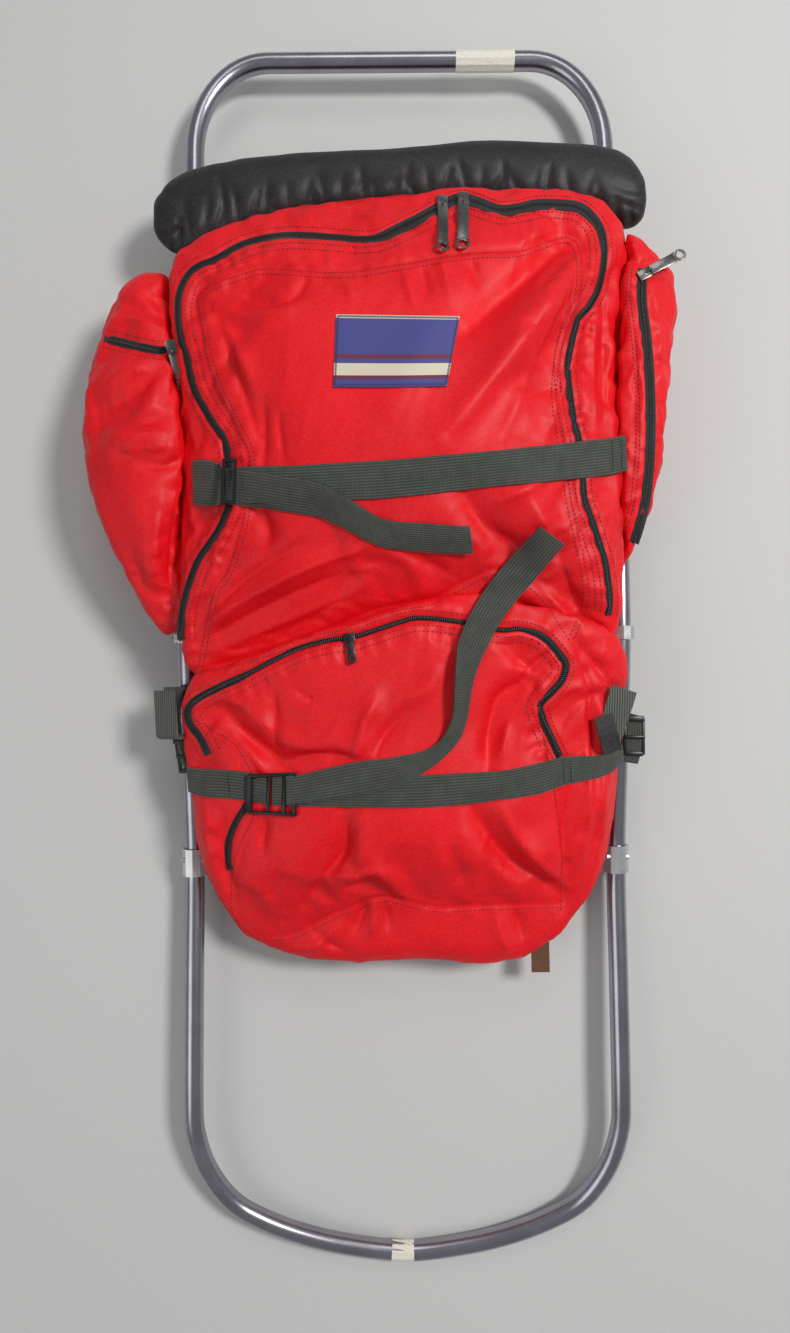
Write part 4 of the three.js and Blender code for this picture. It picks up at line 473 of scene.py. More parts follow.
def metal(name, low, high, roughness, scratch=0.15, speckle=240, spread_by=0.06):
    material, shader = new_material(name, Metallic=1.0)
    coords = node(material, "ShaderNodeTexCoord").outputs["Object"]
    cloud_values = {"Vector": coords, "Scale": 30, "Detail": 5, "Roughness": 0.65}
    cloud = node(material, "ShaderNodeTexNoise", cloud_values).outputs["Fac"]
    colour = node(material, "ShaderNodeValToRGB", {"Fac": cloud}, [(0.3, low), (0.7, high)])
    link(material, colour.outputs["Color"], shader.inputs["Base Color"])
    grit_values = {"Vector": coords, "Scale": speckle, "Detail": 2}
    grit = node(material, "ShaderNodeTexNoise", grit_values).outputs["Fac"]
    limits = {"Value": grit, "To Min": roughness - spread_by, "To Max": roughness + spread_by}
    spread = node(material, "ShaderNodeMapRange", limits)
    link(material, spread.outputs["Result"], shader.inputs["Roughness"])
    worn = node(material, "ShaderNodeBump", {"Height": grit, "Strength": scratch, "Distance": 0.2 * MM})
    link(material, worn.outputs["Normal"], shader.inputs["Normal"])
    return material


TUBE = metal("anodised_aluminium_grey", "#9b98a0", "#adaab4", 0.26, 0.03, 240, 0.02)
COLLAR = metal("cast_aluminium", "#b9b9ba", "#dcdcdc", 0.38, 0.3)
NICKEL = metal("nickel_plate", "#6a6866", "#96938f", 0.28, 0.4, 600)


def plastic(name, low, high, roughness):
    material, shader = new_material(name, IOR=1.48, Roughness=roughness)
    coords = node(material, "ShaderNodeTexCoord").outputs["Object"]
    grain = node(material, "ShaderNodeTexNoise", {"Vector": coords, "Scale": 900, "Detail": 2}).outputs["Fac"]
    colour = node(material, "ShaderNodeValToRGB", {"Fac": grain}, [(0.35, low), (0.65, high)])
    link(material, colour.outputs["Color"], shader.inputs["Base Color"])
    grained = node(material, "ShaderNodeBump", {"Height": grain, "Strength": 0.2, "Distance": 0.1 * MM})
    link(material, grained.outputs["Normal"], shader.inputs["Normal"])
    return material


ACETAL = plastic("acetal_black", "#0d0d0e", "#17171a", 0.38)
TAPE = plastic("cloth_tape_cream", "#dcd6c4", "#f0ecdf", 0.75)
LEATHER = plastic("leather_brown", "#54351f", "#6d4730", 0.7)
FLOOR = plastic("floor_pale", "#c9c8c6", "#d2d1cf", 0.9)
floor.data.materials.append(FLOOR)
print("hard finishes:", [m.name for m in (TUBE, COLLAR, NICKEL, ACETAL, TAPE, LEATHER)])

# %% [markdown]
# ## The bags
#
# Each bag is a cloth shell that hangs between its seams. It could be drawn as a few panels, but cloth never
# lies as panels. So a block is laid round the CAD bag and every point of it is drawn in onto the bag's skin,
# which gives an even mesh. Blender's cloth simulation then fills it with a little air, held at the back and
# along its seams, so the front swells and puckers between them.

# %% Draw a block in onto a bag


MARGIN = 0.03  # how much larger than the bag the block is
ABOVE, BELOW = 0.4, -0.1  # heights over and under every bag
THICK_ENOUGH = 0.006  # a bag's thickness at a point that the block may be drawn in to
INWARD = (0.62, 0.5, 0.36, 0.2, 0.05)  # shares of the way from the middle, tried in turn


def wrap(name, nodes, voxel):
    low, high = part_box(nodes[0])
    middle = (low + high) / 2
    obj = new_primitive(name, bpy.ops.mesh.primitive_cube_add, size=1, location=middle)
    obj.scale = high - low + Vector((MARGIN, MARGIN, MARGIN))
    settle(obj)
    finish_with(obj, "REMESH", mode="VOXEL", voxel_size=voxel * 1.3)
    shell = copy_node(name + "_shell", *nodes)
    tree = tree_of(shell)
    bpy.data.objects.remove(shell)
    drawn = []
    for p in get_points(obj):
        p = Vector(p)
        for share in INWARD:
            q = middle + (p - middle) * share
            top = tree.ray_cast(Vector((q.x, q.y, ABOVE)), -Z)[0]
            base = tree.ray_cast(Vector((q.x, q.y, BELOW)), Z)[0]
            if top is not None and top.z - base.z > THICK_ENOUGH:
                q.z = (top.z + base.z) / 2
                break
        hit = tree.ray_cast(p, (q - p).normalized(), (q - p).length)[0]
        drawn.append(hit if hit is not None else q)
    set_points(obj, drawn)
    finish_with(obj, "REMESH", mode="VOXEL", voxel_size=voxel)
    finish_with(obj, "SMOOTH", factor=0.5, iterations=6)
    return obj


def to_line(pixels, path):
    """For every pixel: the signed distance to a line, how far along it is, and the line's length."""
    path = np.asarray(path, dtype=float)[:, :2]
    best = np.full(len(pixels), 1e9)
    signed = np.zeros(len(pixels))
    along = np.zeros(len(pixels))
    gone = 0.0
    for a, b in zip(path, path[1:]):
        run = b - a
        size = np.hypot(*run)
        t = np.clip(((pixels - a) @ run) / size**2, 0, 1)
        off = pixels - (a + t[:, None] * run)
        far = np.hypot(off[:, 0], off[:, 1])
        near = far < best
        side = np.sign(run[0] * off[:, 1] - run[1] * off[:, 0])
        best = np.where(near, far, best)
        signed = np.where(near, far * side, signed)
        along = np.where(near, gone + t * size, along)
        gone += size
    return signed, along, gone


HELD = 5  # pixels either side of a seam that don't move
SIM_FRAMES = 20


def puff(obj, seams, pressure, cap, back_share=0.4, shrink=-0.04):
    """Cloth simulation: the back and the lines in seams are held, and no point moves further than cap."""
    start = get_points(obj)
    pixels = to_pixels(start)
    low, high = start.min(axis=0), start.max(axis=0)
    held = start[:, 2] < low[2] + back_share * (high[2] - low[2])
    for seam in seams:
        held |= np.abs(to_line(pixels, spline(seam, 8))[0]) < HELD
    group = obj.vertex_groups.new(name="held")
    group.add([int(i) for i in np.flatnonzero(held)], 1.0, "REPLACE")
    pick(obj)
    sim = obj.modifiers.new("cloth", "CLOTH")
    sim.settings.quality = 3
    sim.settings.mass = 0.2
    sim.settings.bending_stiffness = 0.3
    sim.settings.use_pressure = True
    sim.settings.uniform_pressure_force = pressure
    sim.settings.shrink_min = shrink
    sim.settings.vertex_group_mass = "held"
    sim.settings.effector_weights.gravity = 0
    sim.point_cache.frame_start, sim.point_cache.frame_end = 1, SIM_FRAMES
    for step in range(1, SIM_FRAMES + 1):
        bpy.context.scene.frame_set(step)
    bpy.ops.object.modifier_apply(modifier=sim.name)
    bpy.context.scene.frame_set(1)
    moved = get_points(obj) - start
    far = np.linalg.norm(moved, axis=1, keepdims=True)
    set_points(obj, start + moved * np.minimum(1, cap / np.maximum(far, 1e-9)))
    return float(far.max())


# %% The bags' own lines, in pixels of the view
MAIN_ZIP = [(181, 640), (181, 620), (184, 600), (190, 580), (198, 560), (208, 545), (218, 530), (225, 515),
            (229, 503), (229, 480), (228, 460), (224, 440), (212, 422), (205, 410), (195, 392), (190, 375),
            (186, 355), (181, 340), (178, 320), (178, 300), (182, 285), (190, 272), (200, 265), (215, 259),
            (245, 243), (285, 235), (335, 237), (360, 239), (380, 237), (400, 228), (420, 218), (440, 207),
            (460, 198), (480, 203), (500, 210), (520, 208), (540, 204), (575, 206), (590, 215), (600, 228),
            (604, 245), (604, 262), (601, 280), (596, 295), (588, 308), (578, 320), (570, 350), (568, 365),
            (569, 385), (574, 420), (579, 440), (583, 480), (585, 500), (592, 520), (600, 545), (606, 565),
            (610, 600), (608, 615)]
LOWER_ZIP = [(208, 755), (200, 738), (192, 728), (187, 715), (190, 705), (200, 697), (220, 687), (240, 678),
             (255, 670), (280, 657), (300, 648), (330, 640), (350, 638), (370, 632), (400, 622), (420, 618),
             (460, 622), (500, 630), (520, 629), (540, 635), (552, 645), (560, 655), (566, 665), (562, 680),
             (552, 692), (540, 705), (542, 715), (545, 725), (552, 740), (560, 757)]
LEG_ZIP = [(248, 803), (240, 815), (232, 830), (228, 845), (228, 858), (230, 870)]
LEFT_ZIP = [(104, 338), (120, 342), (150, 349), (176, 352)]
RIGHT_ZIP = [(643, 268), (642, 300), (647, 340), (650, 380), (651, 420), (650, 460), (646, 500), (640, 525),
             (634, 543)]
PANEL_SEAM = [(195, 670), (200, 640), (212, 590), (225, 570), (238, 530), (243, 500), (247, 460), (240, 440),
              (225, 410), (215, 390), (205, 360), (200, 330), (195, 300), (205, 285), (240, 272), (270, 266),
              (340, 270), (400, 262), (440, 255), (480, 250), (520, 248), (560, 235), (578, 240), (585, 265),
              (582, 300), (570, 330), (562, 360), (560, 400), (566, 440), (574, 500), (584, 545), (592, 600),
              (577, 640)]
HEM = [(182, 685), (195, 670), (230, 662), (260, 653), (300, 640), (340, 625), (370, 612), (400, 605),
       (430, 600), (450, 590), (480, 575), (500, 570), (540, 590), (575, 640)]
LOWER_SEAM = [(190, 712), (212, 725), (240, 745), (262, 790), (256, 820), (242, 850), (236, 880), (238, 915),
              (262, 937)]
FOOT_SEAM = [(262, 937), (290, 935), (310, 927), (335, 914), (360, 905), (370, 900), (390, 898), (410, 903),
             (440, 908), (480, 906), (520, 905), (565, 903)]
HOOD = [(196, 695), (218, 679), (253, 661), (296, 640), (348, 628), (400, 612), (440, 606), (500, 618),
        (545, 628), (570, 650)]
GUSSET = [(545, 705), (548, 740), (558, 790), (565, 850), (565, 912)]
print("zip points:", len(MAIN_ZIP), len(LOWER_ZIP))

# %% Make the four bags
BAGS = {
    "upper_cloth": dict(
        nodes=("upper_bag", "main_zip"), voxel=0.005, seams=[MAIN_ZIP, HEM], air=1.2, cap=0.005),
    "lower_cloth": dict(
        nodes=("lower_bag", "lower_zip"), voxel=0.005, seams=[LOWER_ZIP, FOOT_SEAM], air=1.2, cap=0.005),
    "left_cloth": dict(
        nodes=("left_pocket", "left_pocket_zip"), voxel=0.0045, seams=[LEFT_ZIP], air=1.5, cap=0.005),
    "right_cloth": dict(
        nodes=("right_pocket", "right_pocket_zip"), voxel=0.004, seams=[RIGHT_ZIP], air=1.5, cap=0.003),
}
cloth = {}
for name, plan in BAGS.items():
    bag = wrap(name, plan["nodes"], plan["voxel"])
    far = puff(bag, plan["seams"], plan["air"], plan["cap"])
    finish_with(bag, "SUBSURF", levels=1, render_levels=1)
    cloth[name] = bag
    print(name, len(bag.data.polygons), "faces, moved", round(far * 1000, 1), "mm")

# %% [markdown]
# ### Folds
#
# The large folds are what makes this pack look used: long diagonal ridges in the upper panel and deep creases
# where the lower one is pinched. Each fold is a row of the view's pixels with a height in millimetres (a
# negative one is a valley), a half width in pixels, and how sharp it is, from 1 for a crease to 2 for a soft
# roll. The point's own normal says which way to push.

# %% A tool for folds


def fold(obj, rows, strength=1.0):
    points, normals = get_points(obj), get_normals(obj)
    pixels = to_pixels(points)
    push = np.zeros(len(points))
    for path, height, wide, sharp in rows:
        line = spline(path, 6)
        box_low, box_high = line.min(axis=0) - 3 * wide, line.max(axis=0) + 3 * wide
        near = np.flatnonzero(np.all((pixels > box_low) & (pixels < box_high), axis=1))
        if len(near):
            signed, along, size = to_line(pixels[near], line)
            ends = np.sin(np.pi * np.clip(along / size, 0.04, 0.96)) ** 0.5
            push[near] += height * ends * np.exp(-((np.abs(signed) / (0.85 * wide)) ** sharp))
    set_points(obj, points + normals * (push * facing(normals, 2.2) * strength * MM)[:, None])


def pucker(obj, path, near, far, spacing, height):
    """Short gathers across a seam, on one side of it from near to far pixels."""
    points, normals = get_points(obj), get_normals(obj)
    signed, along, size = to_line(to_pixels(points), spline(path, 6))
    room = np.clip((signed - near) / 4, 0, 1) * np.clip((far - signed) / 6, 0, 1)
    ends = np.clip(np.minimum(along, size - along) / 8, 0, 1)
    uneven = 0.6 + 0.4 * np.sin(along / 17 + 1)
    wave = np.sin(2 * np.pi * along / spacing + 1.7 * np.sin(along / 23)) * uneven
    set_points(obj, points + normals * (height * wave * room * ends * facing(normals, 2) * MM)[:, None])


def crumple(obj, along, size_mm, height, seed):
    """Small creases all over, longer in one direction (along, in the plane of the bag) than across it."""
    points, normals = get_points(obj), get_normals(obj)
    run = Vector((*along, 0)).normalized()
    across = Vector((-run.y, run.x, 0))
    push = np.empty(len(points))
    for i, p in enumerate(points):
        p = Vector(p)
        place = Vector((p.dot(run) / 2.6, p.dot(across), p.z * 0.5)) / (size_mm * MM) + Vector((seed, 0, 0))
        wide = 1 - abs(noise.noise(place)) * 2.2
        small = 1 - abs(noise.noise(place * 2.3)) * 2.2
        where = 0.5 + 0.5 * noise.noise(place * 0.31 + Vector((0, seed, 0))) * 1.6
        push[i] = (max(wide, 0) ** 3 + 0.4 * max(small, 0) ** 3) * min(max(where, 0.1), 1)
    set_points(obj, points + normals * (height * push * facing(normals, 1.5) * MM)[:, None])


# %% Fold the cloth
UPPER_FOLDS = [
    ([(575, 236), (540, 262), (505, 292), (465, 330)], -6, 13, 1.3),
    ([(586, 252), (555, 290), (520, 340), (480, 392), (440, 440)], 6, 16, 1.5),
    ([(575, 262), (545, 330), (525, 385), (500, 440)], 3.5, 10, 1.4),
    ([(565, 290), (540, 350), (520, 400)], -3, 9, 1.3),
    ([(578, 330), (562, 385), (545, 440)], 3, 9, 1.4),
    ([(450, 300), (425, 345), (380, 430)], 3, 26, 2),
    ([(240, 290), (255, 301), (275, 303), (298, 292), (308, 270)], -3.2, 6, 1.2),
    ([(245, 300), (270, 314), (300, 306)], 2.2, 8, 1.5),
    ([(215, 320), (235, 345), (255, 390)], 3.5, 9, 1.4),
    ([(205, 300), (222, 330), (238, 380), (258, 440)], -3.5, 8, 1.2),
    ([(402, 264), (408, 285), (415, 305)], 2, 5, 1.4),
    ([(418, 262), (425, 280), (428, 298)], -2.2, 5, 1.3),
    ([(440, 258), (446, 280), (450, 295)], 2, 5, 1.4),
    ([(470, 254), (474, 270), (480, 285)], -2.4, 6, 1.3),
    ([(340, 272), (350, 288), (352, 300)], 1.8, 6, 1.4),
    ([(262, 400), (263, 430), (262, 468)], -3, 7, 1.3),
    ([(277, 410), (280, 440), (284, 462)], -2, 5, 1.3),
    ([(250, 505), (262, 520), (268, 545)], -5, 12, 1.5),
    ([(205, 625), (250, 596), (310, 566), (380, 542)], 4, 8, 1.4),
    ([(205, 640), (270, 606), (345, 572)], -3, 7, 1.3),
    ([(215, 650), (280, 622), (360, 588)], 2.6, 8, 1.5),
    ([(205, 618), (250, 575), (300, 545)], -3, 7, 1.2),
    ([(380, 545), (420, 560), (455, 578)], -2.5, 8, 1.3),
    ([(462, 485), (472, 505), (490, 530), (527, 557)], -5, 13, 1.5),
    ([(500, 500), (520, 492), (545, 480)], 3.5, 8, 1.4),
    ([(530, 500), (545, 530), (548, 560)], 3, 9, 1.5),
    ([(560, 560), (570, 592), (584, 625)], -4, 9, 1.3),
    ([(540, 590), (558, 608), (575, 628)], 3.5, 7, 1.3),
    ([(515, 600), (540, 618), (570, 636)], -2.5, 6, 1.2),
    ([(605, 290), (604, 350), (606, 420)], -2.5, 7, 1.3),
    ([(596, 300), (592, 370), (596, 440)], 2, 6, 1.4),
]
LOWER_FOLDS = [
    ([(224, 712), (248, 738), (285, 766)], -6, 9, 1.2),
    ([(236, 738), (250, 752), (266, 772)], 4, 7, 1.4),
    ([(240, 700), (262, 722), (300, 745), (340, 748)], 3.5, 12, 1.6),
    ([(290, 760), (310, 755), (330, 755), (360, 761)], -4, 6, 1.3),
    ([(272, 690), (274, 718), (276, 745)], -3.5, 7, 1.3),
    ([(295, 690), (305, 696), (316, 703)], -2.5, 4, 1.1),
    ([(355, 757), (360, 740), (364, 722), (376, 700)], 4, 8, 1.4),
    ([(372, 760), (385, 735), (405, 712)], -3, 8, 1.3),
    ([(400, 700), (425, 690), (440, 660)], 2.5, 12, 1.8),
    ([(532, 680), (512, 690), (500, 702), (492, 735), (488, 770)], -6, 10, 1.3),
    ([(515, 668), (540, 680), (538, 710)], 3.5, 8, 1.4),
    ([(508, 720), (503, 745), (500, 765)], 3.5, 8, 1.4),
    ([(515, 655), (530, 668), (545, 680)], -3, 5, 1.1),
    ([(545, 655), (532, 668), (520, 684)], -3, 5, 1.1),
    ([(345, 812), (343, 850), (325, 880), (303, 906)], -5, 9, 1.3),
    ([(362, 820), (362, 855), (345, 885)], 3, 10, 1.5),
    ([(265, 815), (262, 835), (262, 852)], -3.5, 7, 1.3),
    ([(470, 806), (485, 830), (510, 860), (565, 896)], -6, 10, 1.3),
    ([(500, 810), (520, 840), (545, 866), (566, 884)], 4.5, 9, 1.4),
    ([(455, 806), (450, 850), (470, 890)], -3, 11, 1.5),
    ([(328, 880), (350, 873), (375, 868), (392, 880), (406, 900)], 4.5, 7, 1.2),
    ([(335, 892), (372, 884), (398, 902)], -3, 6, 1.2),
    ([(365, 906), (360, 918), (355, 932)], -3.5, 5, 1.2),
    ([(385, 905), (388, 918), (391, 932)], -3.5, 5, 1.2),
    ([(375, 906), (374, 920), (372, 936)], 3, 5, 1.3),
    ([(315, 930), (330, 945), (350, 955)], -3, 6, 1.2),
    ([(300, 950), (318, 944), (340, 925)], 3, 6, 1.3),
    ([(515, 910), (520, 925), (525, 942)], -3.5, 6, 1.2),
    ([(495, 912), (500, 935), (512, 955)], 2.5, 7, 1.4),
    ([(574, 780), (568, 830), (570, 880)], -4, 6, 1.2),
    ([(586, 690), (586, 740), (588, 800), (586, 850)], 3.5, 7, 1.4),
    ([(600, 700), (602, 760), (602, 830)], 3, 6, 1.4),
    ([(590, 700), (594, 730), (592, 762)], -4, 6, 1.2),
    ([(575, 640), (600, 668), (615, 690)], -4, 6, 1.1),
    ([(575, 642), (590, 690), (585, 740)], -3, 6, 1.1),
    ([(205, 800), (212, 850), (225, 890)], 3, 8, 1.5),
    ([(222, 812), (222, 850), (232, 900)], -3, 7, 1.3),
]
LEFT_FOLDS = [
    ([(150, 366), (125, 372), (105, 385)], 3, 8, 1.5),
    ([(155, 372), (140, 390), (110, 408), (100, 412)], -3, 8, 1.4),
    ([(160, 380), (150, 405), (135, 420)], 2.5, 8, 1.4),
    ([(98, 430), (130, 438), (175, 432)], 3, 10, 1.6),
    ([(130, 460), (160, 466), (190, 457)], -3.5, 7, 1.3),
    ([(120, 450), (150, 448), (180, 445)], 2.5, 8, 1.5),
    ([(184, 490), (178, 530), (172, 575), (172, 620)], -5, 8, 1.3),
    ([(162, 490), (155, 540), (150, 590)], 3, 10, 1.6),
    ([(120, 300), (140, 308), (170, 318)], -2.5, 6, 1.2),
    ([(115, 318), (140, 322), (165, 330)], 2, 5, 1.3),
    ([(150, 285), (160, 305), (170, 325)], -2.5, 6, 1.2),
]
RIGHT_FOLDS = [
    ([(612, 255), (640, 262), (660, 259)], -2.5, 5, 1.2),
    ([(656, 300), (660, 340), (658, 400)], 2.5, 6, 1.5),
    ([(634, 300), (636, 380), (634, 470)], -2, 6, 1.4),
]
fold(cloth["upper_cloth"], UPPER_FOLDS, 1.5)
fold(cloth["lower_cloth"], LOWER_FOLDS, 1.5)
fold(cloth["left_cloth"], LEFT_FOLDS, 1.2)
fold(cloth["right_cloth"], RIGHT_FOLDS)
crumple(cloth["upper_cloth"], (-0.6, -1), 30, 0.7, 3)
crumple(cloth["lower_cloth"], (-0.5, -1), 26, 1.0, 11)
crumple(cloth["left_cloth"], (0.3, -1), 26, 0.6, 19)
crumple(cloth["right_cloth"], (0, -1), 24, 0.4, 27)
pucker(cloth["upper_cloth"], PANEL_SEAM, -24, -2, 17, 0.9)
pucker(cloth["upper_cloth"], PANEL_SEAM, 1, 16, 23, 0.8)
pucker(cloth["lower_cloth"], LOWER_ZIP, 4, 26, 15, 0.9)
pucker(cloth["lower_cloth"], FOOT_SEAM, -12, 14, 21, 0.8)
ZIP_TROUGH = [(MAIN_ZIP, -3.6, 4.5, 2), (MAIN_ZIP, 1.8, 11, 2)]
fold(cloth["upper_cloth"], ZIP_TROUGH + [(PANEL_SEAM, -2.2, 3, 1.2), (HEM, -1.8, 3, 1.2)])
fold(cloth["lower_cloth"], [
    (HOOD, 2.6, 9, 2), (LOWER_ZIP, -3.4, 4.5, 2), (LOWER_ZIP, 1.6, 11, 2), (LEG_ZIP, -2.4, 5, 2),
    (FOOT_SEAM, -2.6, 3.5, 1.2), (GUSSET, -2.8, 4, 1.2), (LOWER_SEAM, -1.5, 3, 1.2)])
fold(cloth["left_cloth"], [(LEFT_ZIP, -3.5, 8, 2)])
fold(cloth["right_cloth"], [(RIGHT_ZIP, -2.0, 7, 2)])
for name, bag in cloth.items():
    done(coat(bag, RED_NYLON), "nylon_red", BAGS[name]["nodes"][0])
skin = tree_of(*cloth.values())
print("folds:", len(UPPER_FOLDS) + len(LOWER_FOLDS) + len(LEFT_FOLDS) + len(RIGHT_FOLDS))

# %% [markdown]
# ## Webbing straps
#
# A strap under tension bridges the hollows of the cloth and rests on its ridges. Each strap is a plain grid
# whose two long edges are given as pixels of the view. The skin's height is read under every point, the
# hollows along the strap are filled up, and a solidify modifier gives the webbing its 1.6 mm. A row may also
# lift either edge, which is how a loose end curls up or turns on its side. The strap could also be a cloth
# simulation, but then it wouldn't lie where the photograph shows it.

# %% A tool for ribbons


LOWEST = 0.045  # a skin this far under a ribbon's highest point isn't the one it lies on


def ribbon(name, rows, tree, material, lift=2.0, thick=1.6, columns=7, step=4, taut=14, at_z=None):
    """rows: two edges as pixels (u, v, u, v) and, if wanted, the extra lift of either edge in mm.
    at_z: the height in mm where it doesn't lie on a skin."""
    rows = [tuple(row) + (0,) * (6 - len(row)) for row in rows]
    line = spline(rows, step)
    count = len(line)
    share = np.linspace(0, 1, columns)
    pixels = line[:, None, 0:2] * (1 - share)[None, :, None] + line[:, None, 2:4] * share[None, :, None]
    extra = line[:, None, 4] * (1 - share) + line[:, None, 5] * share
    height = np.full((count, columns), np.nan)
    for i in range(count):
        for j in range(columns):
            hit = tree.ray_cast(EYE, pixel_ray(*pixels[i, j]))[0]
            if hit is not None:
                height[i, j] = hit.z
    if at_z is not None:
        height[:] = at_z * MM
    known = ~np.isnan(height)
    low_limit = np.nanmax(height) - LOWEST
    for j in range(columns):
        good = known[:, j] & (np.nan_to_num(height[:, j]) > low_limit)
        if not good.any():
            good = known[:, j]
        height[:, j] = np.interp(np.arange(count), np.flatnonzero(good), height[good, j])
    for _ in range(taut):
        bridged = height.copy()
        bridged[1:-1] = (height[:-2] + height[2:]) / 2
        height = np.maximum(height, bridged)
    for _ in range(4):
        height[1:-1] = (height[:-2] + 2 * height[1:-1] + height[2:]) / 4
        height[:, 1:-1] = (height[:, :-2] + 2 * height[:, 1:-1] + height[:, 2:]) / 4
    obj = new_primitive(
        name, bpy.ops.mesh.primitive_grid_add, x_subdivisions=columns - 1, y_subdivisions=count - 1)
    raised = height + (lift + extra) * MM
    places = [at_height(*pixels[i, j], raised[i, j]) for i in range(count) for j in range(columns)]
    obj.matrix_world = Matrix()
    set_points(obj, places)
    across = np.linalg.norm(np.array(places[0]) - np.array(places[columns - 1]))
    middle = np.array(places).reshape(count, columns, 3)[:, columns // 2]
    along = np.concatenate([[0], np.cumsum(np.linalg.norm(np.diff(middle, axis=0), axis=1))])
    uv = obj.data.uv_layers.active.data
    for loop in obj.data.loops:
        i, j = divmod(loop.vertex_index, columns)
        uv[loop.index].uv = (across * j / (columns - 1), along[i])
    if sum(poly.normal.z for poly in obj.data.polygons) < 0:
        pick(obj)
        bpy.ops.object.mode_set(mode="EDIT")
        bpy.ops.mesh.select_all(action="SELECT")
        bpy.ops.mesh.flip_normals()
        bpy.ops.object.mode_set(mode="OBJECT")
    finish_with(obj, "SOLIDIFY", thickness=thick * MM, offset=-1)
    finish_with(obj, "BEVEL", width=0.35 * MM, segments=2, limit_method="ANGLE", angle_limit=math.radians(50))
    return coat(obj, material, 35)


def strap(name, rows, tree, *nodes, **settings):
    """A ribbon of webbing that stands for CAD nodes."""
    return done(ribbon(name, rows, tree, WEBBING, **settings), "webbing_olive", *nodes)


# %% The two straps across the front
upper_band = strap("upper_strap_band", [
    (214, 468, 214, 504), (260, 466, 260, 503), (300, 465, 300, 502), (350, 462, 350, 500),
    (400, 459, 400, 497), (500, 450, 500, 486), (600, 439, 600, 476), (626, 435, 628, 470)],
    skin, "upper_strap")
over_upper = tree_of(*cloth.values(), upper_band)
strap("upper_strap_tail", [
    (226, 469, 226, 504, 1, 1), (250, 471, 250, 507), (280, 476, 280, 511), (320, 484, 320, 518),
    (350, 500, 350, 532), (380, 518, 378, 546, 1, 0), (400, 522, 400, 550, 1, 0), (430, 524, 430, 553, 1, 1),
    (456, 526, 458, 554, 3, 3), (470, 526, 473, 554, 5, 5)], over_upper, taut=5)

left_band = strap("lower_strap_left_band", [
    (186, 768, 188, 792), (205, 769, 205, 797), (225, 770, 232, 799), (267, 775, 267, 804)],
    skin, "lower_strap_left", taut=8)
lower_band = strap("lower_strap_band", [
    (272, 776, 272, 805), (290, 776, 290, 806), (340, 779, 340, 807), (400, 777, 400, 808),
    (450, 774, 450, 806), (500, 771, 500, 800), (540, 763, 540, 794), (565, 757, 565, 785),
    (600, 755, 602, 777), (612, 746, 617, 768), (618, 732, 624, 752)], skin, "lower_strap")
over_lower = tree_of(*cloth.values(), lower_band)
lower_tail = strap("lower_strap_tail", [
    (286, 776, 286, 805, 2, 2), (302, 774, 304, 803, 1, 1), (350, 763, 352, 796), (395, 757, 400, 785, 0, 0),
    (428, 749, 434, 766, 1, 0), (445, 735, 459, 741, 5, 1), (453, 715, 468, 716, 9, 2),
    (455, 690, 472, 690, 12, 3), (456, 665, 478, 668, 11, 4), (458, 645, 487, 648, 7, 4),
    (465, 625, 496, 630, 4, 3), (480, 597, 512, 606, 3, 2), (500, 570, 533, 582, 3, 3),
    (520, 548, 550, 562, 6, 6), (540, 527, 565, 545, 11, 10)], over_lower, taut=3)
strap("upper_anchor_fold", [
    (192, 461, 193, 504, 0, 0), (199, 460, 200, 505, 2, 2), (206, 460, 206, 506, 4, 4),
    (213, 461, 213, 506, 4, 4), (220, 464, 220, 505, 3, 3)],
    over_upper, "upper_anchor", lift=3, step=2, taut=2)
strap("left_side_webbing", [
    (174, 734, 192, 738), (178, 750, 196, 752), (181, 762, 198, 765), (188, 776, 202, 774)],
    skin, at_z=60, step=3)
strap("right_side_webbing", [
    (626, 712, 641, 716), (627, 730, 642, 732), (626, 750, 641, 752), (624, 762, 638, 764)],
    skin, at_z=62, step=3)

# %% [markdown]
# ## Zips
#
# All the zips are coil zips: a spiral of nylon sewn to a narrow tape. One turn of the coil is modelled with
# a few faces and copied along the line, every 1.7 mm, each copy turned to lie across the tape.

# %% Copy a small model along a line


def frames_along(tree, path, spacing_mm, lift):
    """Places on the skin under a line of pixels, as matrices with Y along the line and Z off the skin."""
    line = spline(path, 2)
    points, normals = lay_on(tree, line, lift * MM)
    points = np.array(points)
    for _ in range(2):
        points[1:-1] = (points[:-2] + 2 * points[1:-1] + points[2:]) / 4
    gone = np.concatenate([[0], np.cumsum(np.linalg.norm(np.diff(points, axis=0), axis=1))])
    places = []
    for at in np.arange(spacing_mm * MM / 2, gone[-1], spacing_mm * MM):
        k = max(min(len(gone) - 2, int(np.searchsorted(gone, at)) - 1), 0)
        share = (at - gone[k]) / max(gone[k + 1] - gone[k], 1e-9)
        place = Vector(points[k] * (1 - share) + points[k + 1] * share)
        ahead = Vector(points[k + 1] - points[k]).normalized()
        places.append(turned(place, ahead, (normals[k] + normals[k + 1]).normalized()))
    return places


def scatter(name, model, places):
    """Copies of one small model, each with its own mesh, joined into one object at the origin."""
    copies = []
    for place in places:
        copy = model.copy()
        copy.data = model.data.copy()
        copy.matrix_world = place
        bpy.context.collection.objects.link(copy)
        copies.append(copy)
    return settle(merge(name, copies))


FADE = 18  # pixels over which a tape changes its width


